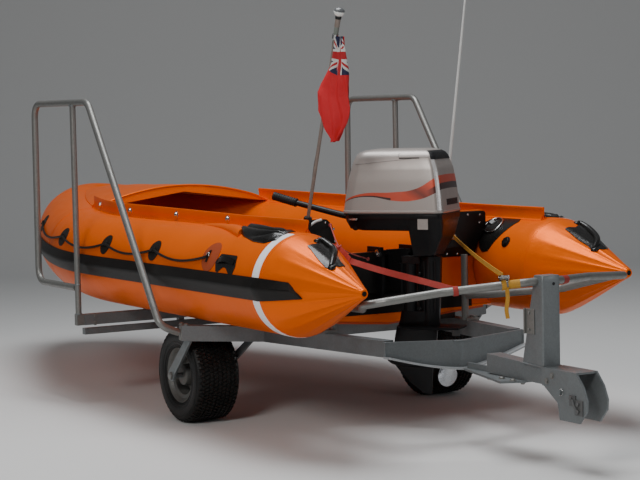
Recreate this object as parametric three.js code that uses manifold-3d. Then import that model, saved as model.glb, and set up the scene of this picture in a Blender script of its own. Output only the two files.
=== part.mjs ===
import * as THREE from 'three';
import Module from 'manifold-3d';

const wasm = await Module();
wasm.setup();

// Inflatable inshore rescue boat standing on its launching trolley.
// Lengths in millimetres. Along the boat x is counted from the tips of the stern cones,
// forward positive; bowShift then moves everything so that the frame's origin is mid-length.
const bowShift = -2165.4;

// Boat
const tubeRadius = 248;
const tubeSide = 764;
const tubeHeight = 800;
const coneJoint = 550;
const straightEnd = 2650;
const bowStart = 3300;
const bowApex = 4752;
const bowRise = 115;
const tubeFacets = 28;
const transomAft = 965;
const transomThick = 40;
const notchHalf = 360;
const notchTop = 900;
const wingTop = 1085;
const keelBottom = 515;
const deckTop = 655;

// Outboard motor
const swivelX = 785;
const tiltX = 920;
const tiltZ = 895;
const steerAngle = 38;
const propAxisZ = 360;
const propRadius = 135;

// Trolley
const wheelX = 1695;
const wheelY = 757;
const tyreRadius = 252;
const tyreWidth = 254;
const postX = -322;
const hoopY = 1068;
const noseLegX = 3450;
const pivotZ = 395;
const barRadius = 19;

const gap = 0.5;

const V = (x, y, z) => new THREE.Vector3(x, y, z);
const deg = (a) => (a * Math.PI) / 180;

// Closed triangle mesh from vertex positions and triangles, turned to face outwards.
function solid(points, faces) {
  let volume = 0;
  for (const [a, b, c] of faces) {
    volume += points[a].dot(V(0, 0, 0).crossVectors(points[b], points[c]));
  }
  const geometry = new THREE.BufferGeometry();
  geometry.setAttribute('position', new THREE.Float32BufferAttribute(points.flatMap((p) => [p.x, p.y, p.z]), 3));
  geometry.setIndex(faces.flatMap((f) => (volume < 0 ? [f[0], f[2], f[1]] : f)));
  return geometry;
}

// Skin over a row of rings with the same number of points, closed by a fan at each end.
function loft(rings) {
  const n = rings[0].length;
  const points = rings.flat();
  const faces = [];
  for (let r = 0; r + 1 < rings.length; r += 1) {
    for (let i = 0; i < n; i += 1) {
      const j = (i + 1) % n;
      const a = r * n + i;
      const b = r * n + j;
      faces.push([a, b, b + n], [a, b + n, a + n]);
    }
  }
  for (const [start, flip] of [[0, true], [(rings.length - 1) * n, false]]) {
    const middle = V(0, 0, 0);
    for (let i = 0; i < n; i += 1) middle.add(points[start + i]);
    points.push(middle.divideScalar(n));
    const c = points.length - 1;
    for (let i = 0; i < n; i += 1) {
      const j = (i + 1) % n;
      faces.push(flip ? [c, start + j, start + i] : [c, start + i, start + j]);
    }
  }
  return solid(points, faces);
}

// Skin of a curved sheet: each ring is an outer row followed by its inner row, same order.
function sheetLoft(outer, inner) {
  const rows = outer.length;
  const n = outer[0].length;
  const points = [...outer.flat(), ...inner.flat()];
  const o = (r, i) => r * n + i;
  const k = (r, i) => rows * n + r * n + i;
  const faces = [];
  const quad = (a, b, c, d) => faces.push([a, b, c], [a, c, d]);
  for (let r = 0; r + 1 < rows; r += 1) {
    for (let i = 0; i + 1 < n; i += 1) {
      quad(o(r, i), o(r, i + 1), o(r + 1, i + 1), o(r + 1, i));
      quad(k(r, i), k(r + 1, i), k(r + 1, i + 1), k(r, i + 1));
    }
    quad(o(r, 0), o(r + 1, 0), k(r + 1, 0), k(r, 0));
    quad(o(r, n - 1), k(r, n - 1), k(r + 1, n - 1), o(r + 1, n - 1));
  }
  for (let i = 0; i + 1 < n; i += 1) {
    quad(o(0, i), k(0, i), k(0, i + 1), o(0, i + 1));
    quad(o(rows - 1, i), o(rows - 1, i + 1), k(rows - 1, i + 1), k(rows - 1, i));
  }
  return solid(points, faces);
}

// Flat plate from an outline: plane 'xz' runs along y, 'yz' along x, 'xy' along z.
function plate(plane, outline, from, to, holes = []) {
  const shape = new THREE.Shape(outline.map(([u, v]) => new THREE.Vector2(u, v)));
  for (const hole of holes) shape.holes.push(new THREE.Path(hole.map(([u, v]) => new THREE.Vector2(u, v))));
  const geometry = new THREE.ExtrudeGeometry(shape, { depth: to - from, bevelEnabled: false });
  const basis = new THREE.Matrix4();
  if (plane === 'xz') basis.makeBasis(V(1, 0, 0), V(0, 0, 1), V(0, -1, 0)).setPosition(0, to, 0);
  if (plane === 'yz') basis.makeBasis(V(0, 1, 0), V(0, 0, 1), V(1, 0, 0)).setPosition(from, 0, 0);
  if (plane === 'xy') basis.makeTranslation(0, 0, from);
  return geometry.applyMatrix4(basis);
}

function block(x0, x1, y0, y1, z0, z1) {
  return new THREE.BoxGeometry(x1 - x0, y1 - y0, z1 - z0).translate((x0 + x1) / 2, (y0 + y1) / 2, (z0 + z1) / 2);
}

// Rectangular bar from p to q, width w across and height h, with an optional second height.
function beam(p, q, w, h, h2 = h, drop = 0) {
  const along = q.clone().sub(p).setZ(0).normalize();
  const side = V(-along.y, along.x, 0).multiplyScalar(w / 2);
  const ring = (c, height, low) => [
    c.clone().add(side).add(V(0, 0, height / 2)), c.clone().sub(side).add(V(0, 0, height / 2)),
    c.clone().sub(side).add(V(0, 0, -height / 2 - low)), c.clone().add(side).add(V(0, 0, -height / 2 - low)),
  ];
  return loft([ring(p, h, 0), ring(q, h2, drop)]);
}

// Corner points rounded by short arcs, as a tube bender leaves them.
function bend(corners, radius, steps = 4) {
  const path = [corners[0].clone()];
  for (let i = 1; i + 1 < corners.length; i += 1) {
    const c = corners[i];
    const a = corners[i - 1].clone().sub(c);
    const b = corners[i + 1].clone().sub(c);
    const half = a.angleTo(b) / 2;
    const cut = Math.min(radius / Math.tan(half), a.length() * 0.48, b.length() * 0.48);
    const from = c.clone().add(a.normalize().multiplyScalar(cut));
    const to = c.clone().add(b.normalize().multiplyScalar(cut));
    for (let s = 0; s <= steps; s += 1) {
      const t = s / steps;
      path.push(from.clone().multiplyScalar((1 - t) * (1 - t)).add(c.clone().multiplyScalar(2 * t * (1 - t)))
        .add(to.clone().multiplyScalar(t * t)));
    }
  }
  path.push(corners[corners.length - 1].clone());
  return path;
}

// Round bar along a path, its rings carried along without twist.
function rod(path, radius, sides = 10) {
  const rings = [];
  let normal = null;
  path.forEach((p, i) => {
    const ahead = (path[i + 1] ?? p).clone().sub(path[i - 1] ?? p).normalize();
    if (!normal) {
      normal = (Math.abs(ahead.z) < 0.9 ? V(0, 0, 1) : V(1, 0, 0));
    }
    normal = normal.clone().sub(ahead.clone().multiplyScalar(normal.dot(ahead))).normalize();
    const across = V(0, 0, 0).crossVectors(ahead, normal);
    const r = Array.isArray(radius) ? radius[i] : radius;
    rings.push(Array.from({ length: sides }, (_, k) => {
      const a = (2 * Math.PI * k) / sides;
      return p.clone().add(normal.clone().multiplyScalar(r * Math.cos(a))).add(across.clone().multiplyScalar(r * Math.sin(a)));
    }));
  });
  return loft(rings);
}

// Turned body: profile of [radius, position] pairs around an axis through a point.
function turned(profile, axis, at, sides = 24) {
  const closedRing = profile[0][0] > 0 && profile[profile.length - 1][0] > 0;
  const pts = profile.map(([r, t]) => new THREE.Vector2(Math.max(r, 0), t));
  if (closedRing) pts.push(pts[0].clone());
  const geometry = new THREE.LatheGeometry(pts, sides);
  const turn = new THREE.Quaternion().setFromUnitVectors(V(0, 1, 0), axis.clone().normalize());
  geometry.applyQuaternion(turn);
  return geometry.translate(at.x, at.y, at.z);
}

function clean(geometry) {
  const flat = geometry.index ? geometry.toNonIndexed() : geometry;
  const position = flat.getAttribute('position');
  const seen = new Map();
  const points = [];
  const faces = [];
  const index = (i) => {
    const p = V(position.getX(i), position.getY(i), position.getZ(i));
    const key = `${Math.round(p.x * 1e3)},${Math.round(p.y * 1e3)},${Math.round(p.z * 1e3)}`;
    if (!seen.has(key)) {
      seen.set(key, points.length);
      points.push(p);
    }
    return seen.get(key);
  };
  for (let i = 0; i < position.count; i += 3) {
    const f = [index(i), index(i + 1), index(i + 2)];
    if (f[0] !== f[1] && f[1] !== f[2] && f[0] !== f[2]) faces.push(f);
  }
  return solid(points, faces);
}

function toManifold(geometry) {
  const g = clean(geometry);
  return new wasm.Manifold(new wasm.Mesh({
    numProp: 3,
    vertProperties: new Float32Array(g.getAttribute('position').array),
    triVerts: new Uint32Array(g.index.array),
  }));
}

function fromManifold(body) {
  const mesh = body.getMesh();
  const geometry = new THREE.BufferGeometry();
  geometry.setAttribute('position', new THREE.Float32BufferAttribute(Array.from(mesh.vertProperties), 3));
  geometry.setIndex(Array.from(mesh.triVerts));
  return geometry;
}

const unite = (list) => fromManifold(list.map(toManifold).reduce((a, b) => a.add(b)));
const carve = (base, list) => fromManifold(list.map(toManifold).reduce((a, b) => a.subtract(b), toManifold(base)));

const materials = {
  fabric: { color: 0xe8560f, roughness: 0.5, metalness: 0 },
  black: { color: 0x1a1a1b, roughness: 0.6, metalness: 0 },
  deck: { color: 0x3a3d40, roughness: 0.85, metalness: 0 },
  white: { color: 0xe4e4e2, roughness: 0.4, metalness: 0 },
  steel: { color: 0x858c90, roughness: 0.55, metalness: 0.7 },
  bunk: { color: 0x2a2a2b, roughness: 0.9, metalness: 0 },
  cowl: { color: 0x9b948d, roughness: 0.35, metalness: 0.3 },
  motor: { color: 0x151618, roughness: 0.5, metalness: 0.2 },
  casting: { color: 0x6f7275, roughness: 0.5, metalness: 0.6 },
  blade: { color: 0xb9bcbf, roughness: 0.35, metalness: 0.8 },
  tyre: { color: 0x141414, roughness: 0.9, metalness: 0 },
  flag: { color: 0xb01a22, roughness: 0.9, metalness: 0 },
  webbing: { color: 0xa8322a, roughness: 0.8, metalness: 0 },
};

const part = new THREE.Group();
function add(name, geometry, slot) {
  const body = clean(geometry);
  body.translate(bowShift, 0, 0);
  body.computeVertexNormals();
  const mesh = new THREE.Mesh(body, new THREE.MeshStandardMaterial(materials[slot]));
  mesh.name = name;
  part.add(mesh);
}
const sides = [['port', 1], ['starboard', -1]];

// Centre line of the buoyancy tube on the port side: straight, then a rounded bow.
function centreLine(t) {
  if (t <= straightEnd) return { x: t, y: tubeSide, z: tubeHeight + riseAt(t), nx: 0, ny: 1 };
  const s = (t - straightEnd) / (bowApex - straightEnd);
  const a = [straightEnd, tubeSide];
  const b = [3350, tubeSide];
  const c = [bowApex, 220];
  const d = [bowApex, 0];
  const w = [(1 - s) ** 3, 3 * s * (1 - s) ** 2, 3 * s * s * (1 - s), s ** 3];
  const x = w[0] * a[0] + w[1] * b[0] + w[2] * c[0] + w[3] * d[0];
  const y = w[0] * a[1] + w[1] * b[1] + w[2] * c[1] + w[3] * d[1];
  const v = [3 * (1 - s) ** 2, 6 * s * (1 - s), 3 * s * s];
  const dx = v[0] * (b[0] - a[0]) + v[1] * (c[0] - b[0]) + v[2] * (d[0] - c[0]);
  const dy = v[0] * (b[1] - a[1]) + v[1] * (c[1] - b[1]) + v[2] * (d[1] - c[1]);
  const l = Math.hypot(dx, dy);
  return { x, y, z: tubeHeight + riseAt(x), nx: -dy / l, ny: dx / l };
}
function riseAt(x) {
  const s = THREE.MathUtils.clamp((x - 2400) / (bowApex - 2400), 0, 1);
  return bowRise * s * s;
}
// Point on the tube: angle 0 is outboard, 90 is up; side -1 mirrors to starboard.
function onTube(station, angle, radius, side) {
  const c = Math.cos(deg(angle)) * radius;
  return V(station.x + station.nx * c, side * (station.y + station.ny * c), station.z + Math.sin(deg(angle)) * radius);
}
const facetAngles = Array.from({ length: tubeFacets }, (_, i) => (360 * i) / tubeFacets + 180 / tubeFacets);
const tubeRing = (station, radius, side) => facetAngles.map((a) => onTube(station, a, radius, side));

// Radius of the stern cone at a distance from its tip.
const coneProfile = [[0, 20], [14, 25], [60, 45], [200, 107], [330, 165], [430, 208], [500, 233], [coneJoint, tubeRadius]];
function coneRadius(x) {
  for (let i = 1; i < coneProfile.length; i += 1) {
    const [x0, r0] = coneProfile[i - 1];
    const [x1, r1] = coneProfile[i];
    if (x <= x1) return r0 + ((r1 - r0) * (x - x0)) / (x1 - x0);
  }
  return tubeRadius;
}
const stationAt = (x) => (x < coneJoint ? { x, y: tubeSide, z: tubeHeight, nx: 0, ny: 1 } : centreLine(x));
const radiusAt = (x) => (x < coneJoint ? coneRadius(x) : tubeRadius);

// Bow parameter where the centre line reaches a given x.
function bowParameter(x) {
  let lo = straightEnd;
  let hi = bowApex;
  for (let i = 0; i < 40; i += 1) {
    const mid = (lo + hi) / 2;
    if (centreLine(mid).x < x) lo = mid; else hi = mid;
  }
  return lo;
}
const sideStations = [coneJoint + gap, 2400, straightEnd, 2850, 3080, bowStart].map((x) => centreLine(x));
const bowHalf = Array.from({ length: 8 }, (_, i) => centreLine(bowStart + gap + ((bowApex - bowStart - gap) * i) / 8));

for (const [sideName, side] of sides) {
  add(`sponson_${sideName}`, loft(sideStations.map((s) => tubeRing(s, tubeRadius, side))), 'fabric');
  add(`cone_${sideName}`, loft(coneProfile.map(([x, r]) => tubeRing(
    { x, y: tubeSide, z: tubeHeight, nx: 0, ny: 1 }, r, side))), 'fabric');
}
const bowRings = [
  ...bowHalf.map((s) => tubeRing(s, tubeRadius, 1)),
  tubeRing(centreLine(bowApex), tubeRadius, 1),
  ...bowHalf.slice().reverse().map((s) => tubeRing(s, tubeRadius, -1)),
];
add('bow_tube', loft(bowRings), 'fabric');

// Rubbing strake: a ridge on the outboard side of the tube.
const strakeSection = [[-12.8, 1.2], [-6.4, 1.5], [6.4, 1.5], [11.2, 1.2], [11.8, 6], [0.6, 25], [-13.4, 6]];
function strakeRing(station, radius, side, sink = 0) {
  return strakeSection.map(([a, d]) => onTube(station, a - sink, radius + d, side));
}
const strakeSink = (x) => 2 * THREE.MathUtils.clamp((x - 600) / 4000, 0, 1);
for (const [sideName, side] of sides) {
  const rings = [310, 400, 490, coneJoint, 2400, straightEnd, 2850, 3080, bowStart].map((x, i) => {
    if (i > 0) return strakeRing(stationAt(x), radiusAt(x) + (x < coneJoint ? 2.5 : 0), side, strakeSink(x));
    return [-11, 10, 46, 58, 58, 52, -11].map((slant, k) => {
      const at = stationAt(x + slant);
      return strakeRing(at, coneRadius(x + slant) + 2.5, side)[k];
    });
  });
  add(`strake_${sideName}`, loft(rings), 'black');
}
const strakeBow = [
  ...bowHalf.map((s) => strakeRing(s, tubeRadius, 1, strakeSink(s.x))),
  strakeRing(centreLine(bowApex), tubeRadius, 1, strakeSink(bowApex)),
  ...bowHalf.slice().reverse().map((s) => strakeRing(s, tubeRadius, -1, strakeSink(s.x))),
];
add('strake_bow', loft(strakeBow), 'black');

// Upright coaming strip along the inboard top of each tube.
const coamingX = [600, 2400, straightEnd, 2850, 3080, 3300];
for (const [sideName, side] of sides) {
  const rings = coamingX.map((x) => {
    const s = centreLine(x > straightEnd ? bowParameter(x) : x);
    const at = (inset, z) => V(s.x - s.nx * inset, side * (s.y - s.ny * inset), z + riseAt(s.x));
    return [at(46, 1044.6), at(78, 1036.3), at(74, 1103), at(52, 1103)];
  });
  add(`coaming_${sideName}`, loft(rings), 'fabric');
}

// Spray dodger over the bow, from the coaming ends forward.
const dodgerX = [3360, 3600, 3880, 4160, 4400];
const dodgerCrown = [110, 98, 78, 52, 24];
const dodgerRow = (x, crown, lift) => {
  const s = centreLine(bowParameter(x));
  const edge = s.y - s.ny * 60;
  const base = s.z + 237.2;
  return Array.from({ length: 13 }, (_, i) => {
    const t = i / 12;
    return V(s.x - s.nx * 60 * (Math.abs(2 * t - 1)), edge * (2 * t - 1), base + lift + crown * Math.sin(Math.PI * t) ** 0.8);
  });
};
add('bow_dodger', sheetLoft(dodgerX.map((x, i) => dodgerRow(x, dodgerCrown[i], 12)),
  dodgerX.map((x, i) => dodgerRow(x, dodgerCrown[i], 3))), 'fabric');

// Fabric hull between the tubes: shallow V, rising under the bow.
function innerEdge(station, z, clear) {
  const h = z - station.z;
  const reach = Math.sqrt(Math.max(tubeRadius ** 2 - h * h, 0));
  return station.y - station.ny * reach - clear;
}
const hullX = [1005.4, 2400, 2900, 3300, 3700, 4080];
const hullKeel = [0, 0, 2, 14, 38, 68];
const hullRings = hullX.map((x, i) => {
  const s = x <= straightEnd ? centreLine(x) : centreLine(bowParameter(x));
  const shrink = i < 3 ? 0 : [10, 26, 60][i - 3];
  const low = keelBottom + hullKeel[i];
  const chineZ = s.z - 236 + (i > 3 ? 8 : 0);
  const deckZ = s.z - 160;
  const yDeck = innerEdge(s, deckZ, i < 2 ? -0.6 : 4) - shrink;
  const yChine = Math.min(innerEdge(s, chineZ, 40), yDeck + 30);
  const at = (y, z) => V(x, y, z);
  return [at(0, low), at(yChine, chineZ), at(yDeck, deckZ), at(-yDeck, deckZ), at(-yChine, chineZ)];
});
add('hull', loft(hullRings), 'fabric');

// Sole laid on the hull.
const deckX = [1010, 2400, 2900, 3300, 3700, 4040];
const deckRings = deckX.map((x, i) => {
  const s = x <= straightEnd ? centreLine(x) : centreLine(bowParameter(x));
  const shrink = i < 3 ? 8 : [16, 28, 46][i - 3];
  const z0 = s.z - 160 + 0.6;
  const y = innerEdge(s, z0 + 15, 4) - shrink;
  return [V(x, y, z0), V(x, y, z0 + 15), V(x, -y, z0 + 15), V(x, -y, z0)];
});
add('deck', loft(deckRings), 'deck');

// Transom between the tubes with a cut-out for the motor.
function transomSide(z, clear) {
  return tubeSide - Math.sqrt(tubeRadius ** 2 - (z - tubeHeight) ** 2) - clear;
}
const sideHeights = [585, 615, 650, 690, 730, 770, 800, 830, 870, 910, 950, 985, 1015];
const half = [
  [0, 530], [560, 578], ...sideHeights.map((z) => [transomSide(z, 1.9), z]),
  [640, 1048], [640, wingTop], [notchHalf + 30, wingTop], [notchHalf, wingTop - 30], [notchHalf - 30, notchTop],
];
const transomOutline = [...half, ...half.slice(1).reverse().map(([y, z]) => [-y, z])];
add('transom', plate('yz', transomOutline, transomAft, transomAft + transomThick), 'fabric');
const padHalf = [
  [0, 690], [230, 690], [250, 848], [508, 848], [514, 900], [524, 930], [540, 964], [560, 990], [560, wingTop - 4],
  [notchHalf + 30, wingTop - 4], [notchHalf, wingTop - 34], [notchHalf - 30, notchTop],
];
const padOutline = [...padHalf, ...padHalf.slice(1).reverse().map(([y, z]) => [-y, z])];
add('transom_pad', plate('yz', padOutline, transomAft - 20, transomAft - gap), 'black');

// Motor clamps hooked over the transom cut-out, joined by the thrust rod.
const clampOutline = [
  [62, 926], [62, 812], [40.4, 812], [40.4, notchTop + 0.4], [-20.4, notchTop + 0.4], [-20.4, 660], [-65, 660],
  [-79, 760], [-79, 880], [-65, 926],
].map(([x, z]) => [transomAft + x, z]);
add('clamp_bracket', unite([
  plate('xz', clampOutline, 88, 106), plate('xz', clampOutline, -106, -88),
  turned([[0, -96], [9, -96], [9, 96], [0, 96]], V(0, 1, 0), V(transomAft - 43, 0, 680), 10),
]), 'motor');

// Everything that steers is laid out straight ahead, then turned about the swivel.
function steered(geometry) {
  return geometry.clone().translate(-swivelX, 0, 0).rotateZ(deg(steerAngle)).translate(swivelX, 0, 0);
}
add('swivel_bracket', unite([
  turned([[0, 606], [36, 606], [36, 846], [0, 846]], V(0, 0, 1), V(swivelX, 0, 0), 16),
  plate('xz', [[swivelX + 8, 700], [swivelX + 70, 700], [tiltX + 12, 770], [tiltX + 16, 880], [tiltX + 8, 912],
    [tiltX - 12, 912], [swivelX + 60, 846], [swivelX + 8, 846]], -52, 52),
  turned([[0, -87.6], [15, -87.6], [15, 87.6], [0, 87.6]], V(0, 1, 0), V(tiltX, 0, tiltZ), 12),
]), 'motor');

// Rounded rectangle in plan: from aft to fore along the motor, half width w, corner r.
function cowlRing(aft, fore, w, r, z, sharp = 0.6) {
  const pts = [];
  const corners = [[fore - r, w - r, 0], [aft + r * sharp, w - r * sharp, 90], [aft + r * sharp, -(w - r * sharp), 180], [fore - r, -(w - r), 270]];
  corners.forEach(([cx, cy, start], i) => {
    const rad = i === 1 || i === 2 ? r * sharp : r;
    for (let k = 0; k <= 4; k += 1) {
      const a = deg(start + (90 * k) / 4);
      pts.push(V(swivelX + cx + rad * Math.cos(a), cy + rad * Math.sin(a), z));
    }
  });
  return pts;
}
const cowlLevels = [
  [-224, 312, 172, 70, 1108], [-216, 300, 166, 70, 1200], [-196, 272, 154, 66, 1330], [-184, 262, 147, 62, 1362],
  [-164, 240, 126, 56, 1408], [-110, 160, 70, 40, 1428],
];
const cowlOuter = loft(cowlLevels.map(([a, f, w, r, z]) => cowlRing(a, f, w, r, z)));
const cowlInner = loft(cowlLevels.map(([a, f, w, r, z], i) => cowlRing(a + 7, f - 7, w - 7, r - 5, i === 0 ? z - 5 : z - 8)));
add('top_cowl', steered(carve(cowlOuter, [cowlInner])), 'cowl');
add('powerhead', steered(block(swivelX - 150, swivelX + 190, -105, 105, 1108.1, 1330)), 'casting');

// Lower cowl: sections from aft forward as [position, low edge, top half width, low half width].
const lowerCowl = [
  [-220, 1060, 150, 120], [-205, 990, 164, 110], [-150, 890, 169, 80], [-46, 884, 169, 84], [-42, 1018, 169, 140],
  [200, 1020, 168, 140], [275, 1028, 140, 120], [306, 1060, 100, 90],
];
add('lower_cowl', steered(loft(lowerCowl.map(([x, low, top, foot]) => [
  V(swivelX + x, top, 1107.6), V(swivelX + x, top, 1080), V(swivelX + x, foot, low),
  V(swivelX + x, -foot, low), V(swivelX + x, -top, 1080), V(swivelX + x, -top, 1107.6),
]))), 'motor');

// Drive leg below the lower cowl, its yoke passing under the swivel tube.
function foil(fore, aft, w, z) {
  const m = (t) => swivelX + aft + (fore - aft) * t;
  return [V(m(1), 0, z), V(m(0.8), w * 0.75, z), V(m(0.45), w, z), V(m(0), w * 0.3, z),
    V(m(0), -w * 0.3, z), V(m(0.45), -w, z), V(m(0.8), -w * 0.75, z)];
}
add('drive_leg', steered(unite([
  loft([foil(-48, -165, 46, 883.5), foil(-46, -158, 40, 700), foil(-46, -152, 36, 590), foil(-40, -150, 34, 532)]),
  block(swivelX - 60, swivelX + 36, -28, 28, 846.4, 883.5),
  loft([foil(52, -150, 34, 605.6), foil(60, -150, 32, 560), foil(70, -150, 28, 532)]),
])), 'motor');
add('gearcase', steered(unite([
  plate('xy', [[swivelX + 74, 0], [swivelX + 30, 62], [swivelX - 90, 98], [swivelX - 270, 80], [swivelX - 270, -80],
    [swivelX - 90, -98], [swivelX + 30, -62]], 519, 531.5),
  loft([foil(78, -140, 26, 524), foil(96, -132, 20, 430), foil(110, -126, 24, 365)]),
  turned([[0, -136], [40, -136], [43, -60], [43, 30], [36, 85], [20, 122], [0, 134]], V(1, 0, 0), V(swivelX, 0, propAxisZ), 16),
  loft([
    [V(swivelX + 96, 6, 335), V(swivelX - 112, 6, 335), V(swivelX - 112, -6, 335), V(swivelX + 96, -6, 335)],
    [V(swivelX - 58, 3, 186), V(swivelX - 104, 3, 182), V(swivelX - 104, -3, 182), V(swivelX - 58, -3, 186)],
  ]),
])), 'casting');

// Three-bladed propeller.
const hub = turned([[0, -236], [24, -236], [34, -200], [36, -136.4], [0, -136.4]], V(1, 0, 0), V(swivelX, 0, propAxisZ), 18);
function blade(turn) {
  const root = 30;
  const steps = [[root, 34, 50], [58, 52, 40], [88, 62, 32], [112, 54, 28], [128, 34, 26], [propRadius, 12, 25]];
  const rings = steps.map(([r, halfChord, pitch]) => {
    const c = Math.cos(deg(pitch));
    const s = Math.sin(deg(pitch));
    const t = r === root ? 5 : 3;
    return [[1, 0], [0, 1], [-1, 0], [0, -1]].map(([u, v]) => V(
      swivelX - 188 - u * halfChord * s + v * t * c, u * halfChord * c + v * t * s, propAxisZ + r));
  });
  return loft(rings).translate(0, 0, -propAxisZ).rotateX(deg(turn)).translate(0, 0, propAxisZ);
}
add('propeller', steered(unite([hub, blade(180), blade(300), blade(60)])), 'blade');
add('tiller_arm', steered(unite([
  rod([V(swivelX + 306.5, -60, 1080), V(swivelX + 360, -60, 1080), V(swivelX + 640, -60, 1150)], [20, 20, 17], 10),
  rod([V(swivelX + 638, -60, 1149.4), V(swivelX + 770, -60, 1187)], [23, 21], 12),
])), 'motor');

// Ensign staff on the port wing of the transom, raked aft, with its light.
const staffFoot = V(922, 532, 1004);
const staffTop = V(564, 532, 2058);
const staffAt = (t) => staffFoot.clone().lerp(staffTop, t);
add('ensign_staff', unite([
  rod([staffAt(0), staffAt(1)], 9, 10),
  rod([staffAt(0.02), staffAt(0.09)], 19, 10),
  rod([staffAt(0.965), staffAt(1)], 13, 10),
  block(912, transomAft - 20.5, 516, 548, 1030, 1062),
]), 'steel');
const staffDir = staffTop.clone().sub(staffFoot).normalize();
add('staff_light', turned([[0, 0.5], [20, 0.5], [27, 14], [27, 34], [18, 52], [0, 58]], staffDir, staffTop, 16), 'white');

// Ensign hanging limp from the staff in close folds: depth of each fold by height.
const flagRows = [[1975, 18, 40], [1880, 30, 80], [1760, 44, 116], [1630, 52, 124], [1540, 48, 108], [1468, 26, 64]];
const flagColumns = 9;
function flagRow(z, depth, width, thick) {
  const hoist = staffFoot.clone().lerp(staffTop, (Math.max(z, 1690) - staffFoot.z) / (staffTop.z - staffFoot.z));
  return Array.from({ length: flagColumns }, (_, i) => {
    const t = i / (flagColumns - 1);
    const zig = (i % 2 === 0 ? 1 : -1) * depth * (i === 0 ? 0.2 : 0.5);
    return V(hoist.x - 9.7 - width * t, hoist.y + zig + thick, z);
  });
}
add('ensign', sheetLoft(flagRows.map(([z, d, w]) => flagRow(z, d, w, 1.6)), flagRows.map(([z, d, w]) => flagRow(z, d, w, -1.6))), 'flag');

// Whip aerial inside the starboard wing of the transom.
const aerialFoot = V(1036, -378, 1012);
const aerialDir = V(-0.152, -0.03, 1).normalize();
const aerialAt = (d) => aerialFoot.clone().add(aerialDir.clone().multiplyScalar(d));
add('aerial', unite([
  rod([aerialAt(0), aerialAt(110)], [17, 15], 10),
  rod([aerialAt(100), aerialAt(500), aerialAt(1500)], [8.5, 8, 4], 10),
  block(transomAft + transomThick + 0.6, 1042, -402, -354, 985, 1035),
]), 'white');

// Trolley side frames: outer arm over the wheel, long leg aft, deep gusset at the apex.
for (const [sideName, side] of sides) {
  const outer = V(1502, side * 950, 500);
  const knee = V(1385, side * 512, 472);
  const heel = V(416, side * 374, 478);
  add(`side_frame_${sideName}`, unite([
    beam(outer, knee, 60, 80), beam(knee.clone().add(V(30, side * 2, 0)), heel, 60, 80),
  ]), 'steel');
}
add('axle_cross', beam(V(1385, -474.6, 470), V(1385, 474.6, 470), 60, 76), 'steel');

// Stern cross member: a shallow V in plan, deepest at the middle, with a foot flange.
add('stern_cross', unite(sides.flatMap(([, side]) => {
  const web = [V(404, side * 410, 480), V(342, 0, 434)];
  const across = V(-0.16, side * -1, 0).normalize();
  const ring = (c, top, low, half) => [
    c.clone().add(V(half, 0, 0)).setZ(top), c.clone().add(V(-half, 0, 0)).setZ(top),
    c.clone().add(V(-half, 0, 0)).setZ(low), c.clone().add(V(half, 0, 0)).setZ(low),
  ];
  const past = web[1].clone().add(across.clone().multiplyScalar(2));
  return [
    loft([ring(web[0], 514, 442, 8), ring(past, 500, 366, 8)]),
    loft([ring(web[0].clone().add(V(-22, 0, 0)), 444, 434, 30), ring(past.clone().add(V(-22, 0, 0)), 368, 358, 30)]),
  ];
})), 'steel');

// Tongue from the apex to the hitch, with its end plate and the flat plate below.
add('tongue', unite([
  block(60, 288, -8, 8, 360, 395),
  loft([[V(80, 40, 462), V(80, 40, 372), V(80, -40, 372), V(80, -40, 462)], [V(-373.6, 40, 444), V(-373.6, 40, 366), V(-373.6, -40, 366), V(-373.6, -40, 444)]]),
  plate('xy', [[289.5, 24], [-167, 144], [-215, 42], [-215, -42], [-167, -144], [289.5, -24]], 357, 367),
]), 'steel');

// Hitch head: a channel open aft and below, with its cross pin.
const headCheek = [
  [-378, 448], [-378, 372], [-485, 300], [-500, 225], [-640, 225], [-690, 285], [-694, 330], [-668, 390], [-617, 448],
];
add('drawbar_head', unite([
  plate('xz', headCheek, 52, 62), plate('xz', headCheek, -62, -52),
  block(-617, -374, -62, 62, 438, 448), block(-384, -374, -62, 62, 366, 448),
  turned([[0, -78], [11, -78], [11, 78], [0, 78]], V(0, 1, 0), V(-515, 0, 352), 12),
]), 'steel');

// Post on the tongue that carries the stern bar: upright aft face, fore face sloping down and forward.
const postSide = [[postX - 50, 444.6], [-208, 451.1], [-300, 860], [postX - 50, 860]];
add('post', unite([plate('xz', postSide, -50, 50), block(-300, -266, 49, 66, 590, 706)]), 'steel');
const barTable = [
  ['port', 1, [[-100, 410, 790], [30, 630, 754], [96, 712, 737]], [[160, 678, 726], [300, 590, 695], [700, 432, 660], [865, 404, 650]]],
  ['starboard', -1, [[-120, 410, 813], [-78, 610, 803], [-48, 704, 797]], [[28, 684, 789], [300, 590, 715], [700, 432, 664], [865, 404, 650]]],
];
for (const [sideName, side, bar, brace] of barTable) {
  const at = ([x, y, z]) => V(x, side * y, z);
  const loop = bend([at([postX, 50.4, 832]), at([postX, 58, 832]), at([postX + 8, 96, 830]), ...bar.map(at), ...brace.map(at)], 44, 3);
  add(`stern_bar_${sideName}`, rod(loop, barRadius, 10), 'steel');
  add(`stanchion_${sideName}`, unite([
    rod([V(888, side * 404, 519), V(888, side * 404, 862)], barRadius, 10),
    block(856, 920, side * 432 - 36, side * 432 + 36, 515.8, 530),
  ]), 'steel');
}

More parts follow.
